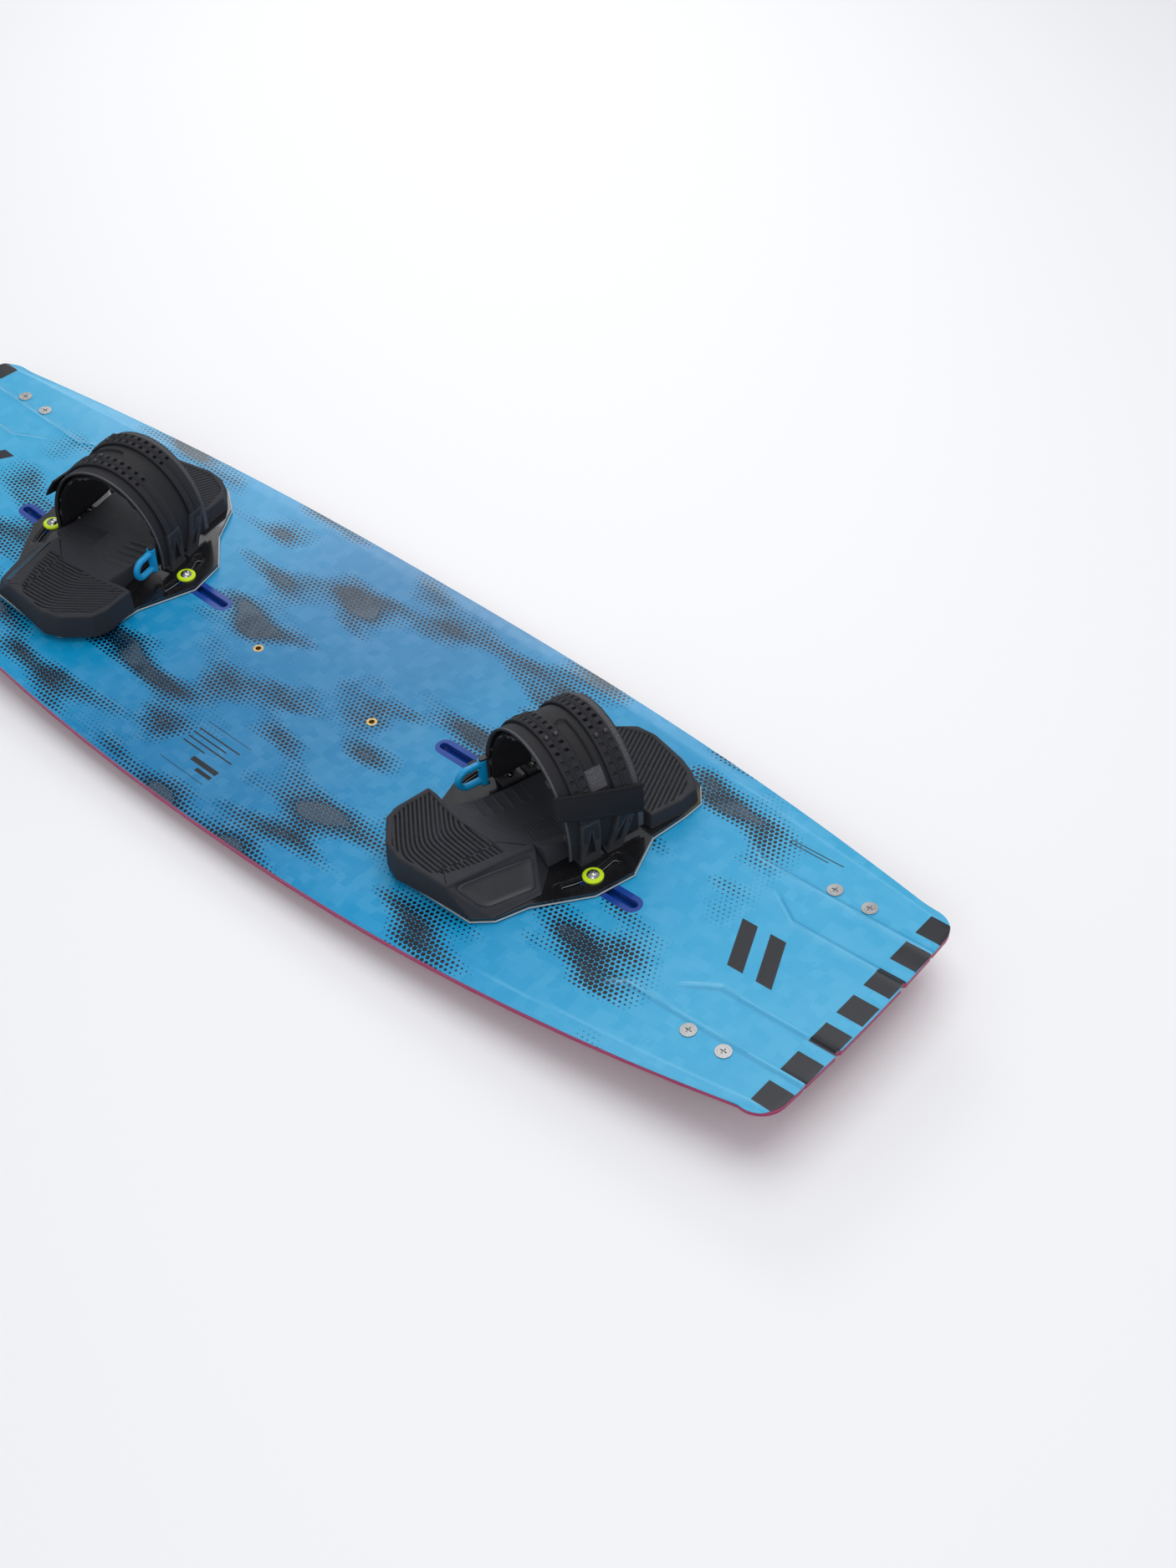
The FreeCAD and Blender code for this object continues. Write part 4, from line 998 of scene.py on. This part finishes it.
def deckMaterial():
    material, tree, shader = startMaterial("deckLaminate", 0.3, coat=0.12, specular=0.35)
    x, y = planAxes(tree)
    ax = mathNode("ABSOLUTE", x)
    base = mixColour(ramp(ax, 0.05, 0.30), deckPrintAndPaintedLight["middle"], deckPrintAndPaintedLight["near"])
    base = mixColour(ramp(ax, 0.33, 0.60), base, deckPrintAndPaintedLight["tail"])
    broad = grained(tree, 420.0)[1]
    cells = tree.nodes.new("ShaderNodeTexVoronoi")
    cells.distance = "CHEBYCHEV"
    cells.inputs["Scale"].default_value = 95.0
    cells.inputs["Randomness"].default_value = 0.45
    link(output(tree, "TexCoord", "Object"), cells.inputs["Vector"])
    tone = tree.nodes.new("ShaderNodeSeparateColor")
    link(cells.outputs["Color"], tone.inputs[0])
    mottle = plus(times(tone.outputs[0], 0.55), broad)
    darker, paler = mixColour(1.0, base, (0.90, 0.93, 0.95), "MULTIPLY"), mixColour(0.05, base, (0.7, 0.9, 1.0))
    base = mixColour(ramp(mottle, -0.1, 0.9), darker, paler)
    h = groupNode(tree, halftoneGroup(), Pitch=deckPrintAndPaintedLight["pitch"] / 1000, Row=deckPrintAndPaintedLight["row"] / 1000)
    ink = mixColour(ramp(h.outputs["Density"], 0.05, 0.45), deckPrintAndPaintedLight["dotFaint"], deckPrintAndPaintedLight["dot"])
    base = mixColour(h.outputs["Dots"], base, ink)
    threads = []
    for axis in (x, y):
        turn = mathNode("PINGPONG", over(axis, 0.0011), 1.0)
        threads.append(ramp(turn, 0.62, 0.9))
    hatch = times(most(*threads), ramp(broad, -0.10, 0.06))
    hatch = times(hatch, ramp(h.outputs["Density"], 0.86, 1.0))
    base = mixColour(times(hatch, 0.75), base, deckPrintAndPaintedLight["hatch"])
    slant = scaled(y, 0.45, ax)
    # tip blocks and slanted bars at both ends, then the small plain lines of each half
    marks = [boxMask(ax, y, 662, 688.5, k * 38.7 - 128.5, k * 38.7 - 103.5) for k in range(7)]
    marks += [boxMask(slant, y, low, low + 17, -26, 26) for low in (545, 576)]
    marks += [boxMask(x, y, *box, 0.2) for box in deckPrintAndPaintedLight["lines"]]
    shape = {n: tree.nodes.new("ShaderNodeAttribute") for n in ("crest", "foot", "crease")}
    for label, node in shape.items():
        node.attribute_name = label
    # painted shade in a band just below each deck step, then a painted highlight along the step crests and along the
    # crease where the rail bevel starts
    base = mixColour(times(shape["foot"].outputs["Fac"], 0.45), base, deckPrintAndPaintedLight["footShade"])
    light = times(most(shape["crest"].outputs["Fac"], shape["crease"].outputs["Fac"]), 0.55)
    base = mixColour(light, base, deckPrintAndPaintedLight["crestPaintedHighlight"])
    base = mixColour(reduce(most, marks), base, deckPrintAndPaintedLight["charcoal"])
    across = minus(ax, float(plateOrigin[0]) / 1000)
    reach = mathNode("SQRT", plus(times(across, across), times(y, y)))
    ring = times(ramp(reach, 0.082, 0.0835), ramp(reach, 0.0985, 0.097))
    lean = mathNode("ABSOLUTE", scaled(across, math.sin(duck), times(y, math.cos(duck))))
    ring = times(ring, ramp(lean, 0.0345, 0.033))
    base = mixColour(ring, base, deckPrintAndPaintedLight["charcoal"])
    shader.inputs["Coat Roughness"].default_value = 0.12
    finish(shader, base, scaled(broad, 0.2, 0.3), plus(times(tone.outputs[0], 0.5), broad), 0.35, 0.0002)
    return material


def woodMaterial():
    material, tree, shader = startMaterial("coreWood", 0.6)
    rings = noiseNode(mapped(output(tree, "TexCoord", "Object"), (2, 60, 60)), 3.0, 5.0, 0.6)
    base = mixColour(ramp(rings, 0.35, 0.65), (0.42, 0.28, 0.15), (0.75, 0.6, 0.4))
    finish(shader, base, None, rings, 0.4, 0.0002)
    return material


def plateMaterial():
    material, tree, shader = startMaterial("plateBlack", 0.14, coat=0.6)
    fine, broad = grained(tree, 1400.0)
    w = groupNode(tree, wear, Radius=0.0006)
    base = mixColour(scaled(broad, 0.6, 0.5), (0.003, 0.003, 0.004), (0.014, 0.014, 0.016))
    coord = output(tree, "TexCoord", "Object")
    tip = fromPlate(np.array([[76.0, 134.0, 5.0]]))[0] / 1000  # the clear corner by the toes
    spots = []
    for sign in (-1, 1):
        d = tree.nodes.new("ShaderNodeVectorMath")
        d.operation = "DISTANCE"
        link(coord, d.inputs[0])
        d.inputs[1].default_value = (sign * tip[0], tip[1], tip[2])
        spots.append(ramp(d.outputs["Value"], 0.030, 0.012))
    base = mixColour(times(most(*spots), 0.9), base, (0.09, 0.075, 0.035))
    base = mixColour(times(w.outputs["Mask"], 0.25), base, (0.12, 0.12, 0.13))
    finish(shader, base, scaled(broad, 0.18, 0.16), fine, 0.3, 0.00002, w.outputs["Normal"])
    return material


shellPath = archPath(shellLook)
patchRun = [float(np.interp(a, shellPath[5][7:-7], shellPath[4][7:-7])) for a in (43.0, 58.0)]
looks = {
    "deck_laminate": deckMaterial(),
    "core_wood": woodMaterial(),
    "rail_abs": plainMaterial("railMagenta", (0.33, 0.012, 0.10), (0.5, 0.05, 0.2), 0.35, scale=500.0,
                              radius=0.0003),
    "base_laminate": plainMaterial("baseMagenta", (0.36, 0.014, 0.12), (0.5, 0.06, 0.2), 0.22, coat=0.5,
                                   scale=260.0, radius=0.0003),
    "insert_metal": plainMaterial("insertBrass", (0.52, 0.38, 0.16), (0.8, 0.7, 0.45), 0.32, metallic=1.0,
                                  scale=1800.0),
    "screw_steel": plainMaterial("screwSteel", (0.42, 0.42, 0.42), (0.9, 0.9, 0.9), 0.24, metallic=1.0,
                                 scale=1600.0, radius=0.0003, spread=0.12),
    "track_blue": plainMaterial("trackBlue", (0.006, 0.05, 0.30), (0.02, 0.12, 0.5), 0.16, coat=0.6, scale=700.0),
    "washer_lime": plainMaterial("washerLime", (0.62, 0.86, 0.005), (0.8, 1.0, 0.15), 0.42, spread=0.1),
    "plate_black": plateMaterial(),
    "gasket_clear": plainMaterial("gasketPale", (0.55, 0.60, 0.60), (0.8, 0.85, 0.85), 0.35, scale=500.0),
    "pad_foam": foamMaterial("padFoam", (0.022, 0.023, 0.029), (0.060, 0.062, 0.072)),
    "panel_black": plainMaterial("panelBlack", (0.018, 0.018, 0.023), (0.06, 0.06, 0.07), 0.42, scale=1500.0),
    "strap_textile": textileMaterial("strapTextile", (0.010, 0.010, 0.012), (0.10, 0.10, 0.11), 0.0011,
                                     [(-12.6, -9.5), (69.5, 73.0)]),
    "strap_skin": textileMaterial("strapSkin", (0.016, 0.016, 0.019), (0.13, 0.13, 0.145), 0.0013,
                                  [(-11.5, -9.2), (65.2, 70.2)], 0.00015, 0.7, patch=patchRun),
    "ladder_rubber": foamMaterial("ladderRubber", (0.014, 0.014, 0.018), (0.060, 0.061, 0.07)),
    "band_webbing": textileMaterial("bandWebbing", (0.008, 0.008, 0.011), (0.05, 0.05, 0.055), 0.0016, [],
                                    roughness=0.8),
    "loop_cyan": plainMaterial("loopCyan", (0.0, 0.30, 0.62), (0.1, 0.5, 0.8), 0.4, spread=0.15),
    "fin_glass": plainMaterial("finGlass", (0.012, 0.013, 0.016), (0.06, 0.06, 0.07), 0.25, coat=0.4, scale=350.0),
}
print("materials made")

# CAD pieces that show
slotOf = {entry["node"]: entry["material_slot"] for entry in frame["record"]["subparts"]}
for name, node in nodes.items():
    node.data.materials.clear()
    node.data.materials.append(looks[slotOf[name]])
    node.data.polygons.foreach_set("use_smooth", np.full(len(node.data.polygons), True))
    node.data.set_sharp_from_angle(angle=math.radians(28))


def boardPiece(name, verts, faces, slot, replaced):
    piece = addMesh(name, verts, faces)
    piece.data.materials.append(looks[slot])
    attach(piece, "board")
    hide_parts(replaced)
    return piece


deck = boardPiece("deck_skin", deckVerts, deckFaces, "deck_laminate", "top_laminate")
for name, mask in (("crest", crestMask), ("foot", footMask), ("crease", creaseMask)):
    layer = deck.data.attributes.new(name, "FLOAT", "POINT")
    layer.data.foreach_set("value", np.concatenate([mask.ravel(), mask.ravel()])[deckUsed].astype(np.float32))
boardPiece("side_rail", *railMesh(), "rail_abs", "edge_rail")
print("board built")

heelMesh = padMesh(heelLow, heelTop, padLow, heelHeight, heelLook["rim"], (-12, -100), 84, 22, 1.1, 5, heelWall)
bindingPair("heel_cushion", heelMesh, "pad_foam", replaced="heel_pad")
toeLow = [(56, 76.4), (73, 78.0), (74, 114), (69, 135), (49, 147), (26, 151), (-20, 151), (-42, 144), (-63, 116),
          (-60, 76.4)]
toeMid = np.mean(np.array(toeLow), 0)
toeTop = [tuple(toeMid + (np.array(p) - toeMid) * toeLook["draft"]) for p in toeLow]
toeMesh = padMesh(toeLow, toeTop, padLow, toeHeight, toeLook["rim"], (5, 112), 66, 10, 1.3, 4)
bindingPair("toe_cushion", toeMesh, "pad_foam", replaced="toe_pad")
bindingPair("arch_bed", bedMesh(), "pad_foam", replaced="footbed")
print("pads built")

slack = 1.4  # the padding starts this much smaller all round, and the pressure fills it out
linerYs = roundProfile(linerLook["front"] + slack, linerLook["rear"] - slack, 1.6, 4.2)
startVerts, startFaces, uv = sleeveMesh(archPath(linerLook, 110, slack), linerYs, linerOuter, 5.4, 2.5)
linerMesh = puffed(startVerts, startFaces, linerLook)
print("strap padding simulated", len(linerMesh[0]))
bindingPair("strap_padding", linerMesh, "strap_textile", replaced="strap_liner")
shellYs = roundProfile(shellLook["front"], shellLook["rear"], 0.8, 1.3)
shellMesh = sleeveMesh(archPath(shellLook, 190), shellYs, shellOuter, 2.4, 1.1)
bindingPair("strap_cover", shellMesh, "strap_skin", replaced="strap_shell")
path = archPath(ladderLook, 330, end=ladderLook["endAngle"])
edgeYs = np.array([0, 0.2, 0.5, 0.9])
for label, middle, pegAngle in (("front", ladderLook["front"], ladderLook["pegFront"]),
                                ("rear", ladderLook["rear"], ladderLook["pegRear"])):
    low, high = middle - ladderLook["halfWidth"], middle + ladderLook["halfWidth"]
    ys = np.concatenate([low + edgeYs, np.arange(low + 1.3, high - 1.2, 0.5), high - edgeYs[::-1]])
    stripMesh = sleeveMesh(path, ys, ladderOuter(middle), 3.4, 1.0)
    bindingPair(label + "_rail_strip", stripMesh, "ladder_rubber", replaced=label + "_ladder")
    dome, domeFaces = domeMesh(ladderLook["pegRadius"], ladderLook["pegHeight"])
    spots = [middle + s * ladderLook["column"] for s in (-1, 1)]
    span, height = ladderLook["span"] - 0.4, ladderLook["height"] - 0.4
    bindingPair(label + "_pegs", joined([(onArch(span, height, pegAngle, y, dome), domeFaces) for y in spots]),
                "panel_black")
bindingPair("band_webbing", bandMesh(), "band_webbing", body="cover_band", replaced="cover_band")
bindingPair("plate_teeth", teethMesh(), "plate_black")
bindingPair("flank_panel", panelMesh(), "panel_black", replaced="side_panel")
print("strap built")

# Floor, light and camera
bpy.ops.mesh.primitive_plane_add(size=30, location=(0, 0, -0.0005))
floor = bpy.context.object
floorMaterial, tree, shader = startMaterial("paleFloor", 0.6)
floorTone = plus(grained(tree, 60.0, 0.02)[1], 0.5)
floorColour = mixColour(floorTone, (0.90, 0.905, 0.91), (0.94, 0.945, 0.95))
link(floorColour, shader.inputs["Base Color"])
floor.data.materials.append(floorMaterial)


def softLight(name, place, target, size, watts, colour=(1, 1, 1)):
    data = bpy.data.lights.new(name, "AREA")
    data.shape = "RECTANGLE"
    data.size, data.size_y = size
    data.energy = watts
    data.color = colour
    light = bpy.data.objects.new(name, data)
    bpy.context.scene.collection.objects.link(light)
    light.location = place
    light.rotation_euler = (Vector(target) - Vector(place)).to_track_quat("-Z", "Y").to_euler()


softLight("softTop", (0.2, 0.6, 2.6), (0.1, 0, 0), (2.6, 2.2), 34)
softLight("softFront", (1.6, -1.9, 1.9), (0.2, 0, 0), (1.6, 1.2), 13)
softLight("softRim", (-1.6, 1.8, 1.4), (0.1, 0, 0.05), (1.6, 0.8), 14)
world = bpy.data.worlds.new("paleRoom")
bpy.context.scene.world = world
world.use_nodes = True
world.node_tree.nodes["Background"].inputs["Color"].default_value = (0.93, 0.95, 1.0, 1)
world.node_tree.nodes["Background"].inputs["Strength"].default_value = 0.50

cameraData = bpy.data.cameras.new("mainCamera")
cameraData.sensor_width = 36
cameraData.lens = 42.83
camera = bpy.data.objects.new("mainCamera", cameraData)
bpy.context.scene.collection.objects.link(camera)
right, up, back = (0.74907, 0.66244, -0.00810), (-0.46612, 0.53569, 0.70411), (0.47077, -0.52365, 0.71005)
turn = Matrix((right, up, back)).transposed().to_4x4()
camera.matrix_world = Matrix.Translation((1.15278, -0.86580, 1.30494)) @ turn
bpy.context.scene.camera = camera
bpy.context.scene.view_settings.view_transform = "Standard"

print("scene ready")
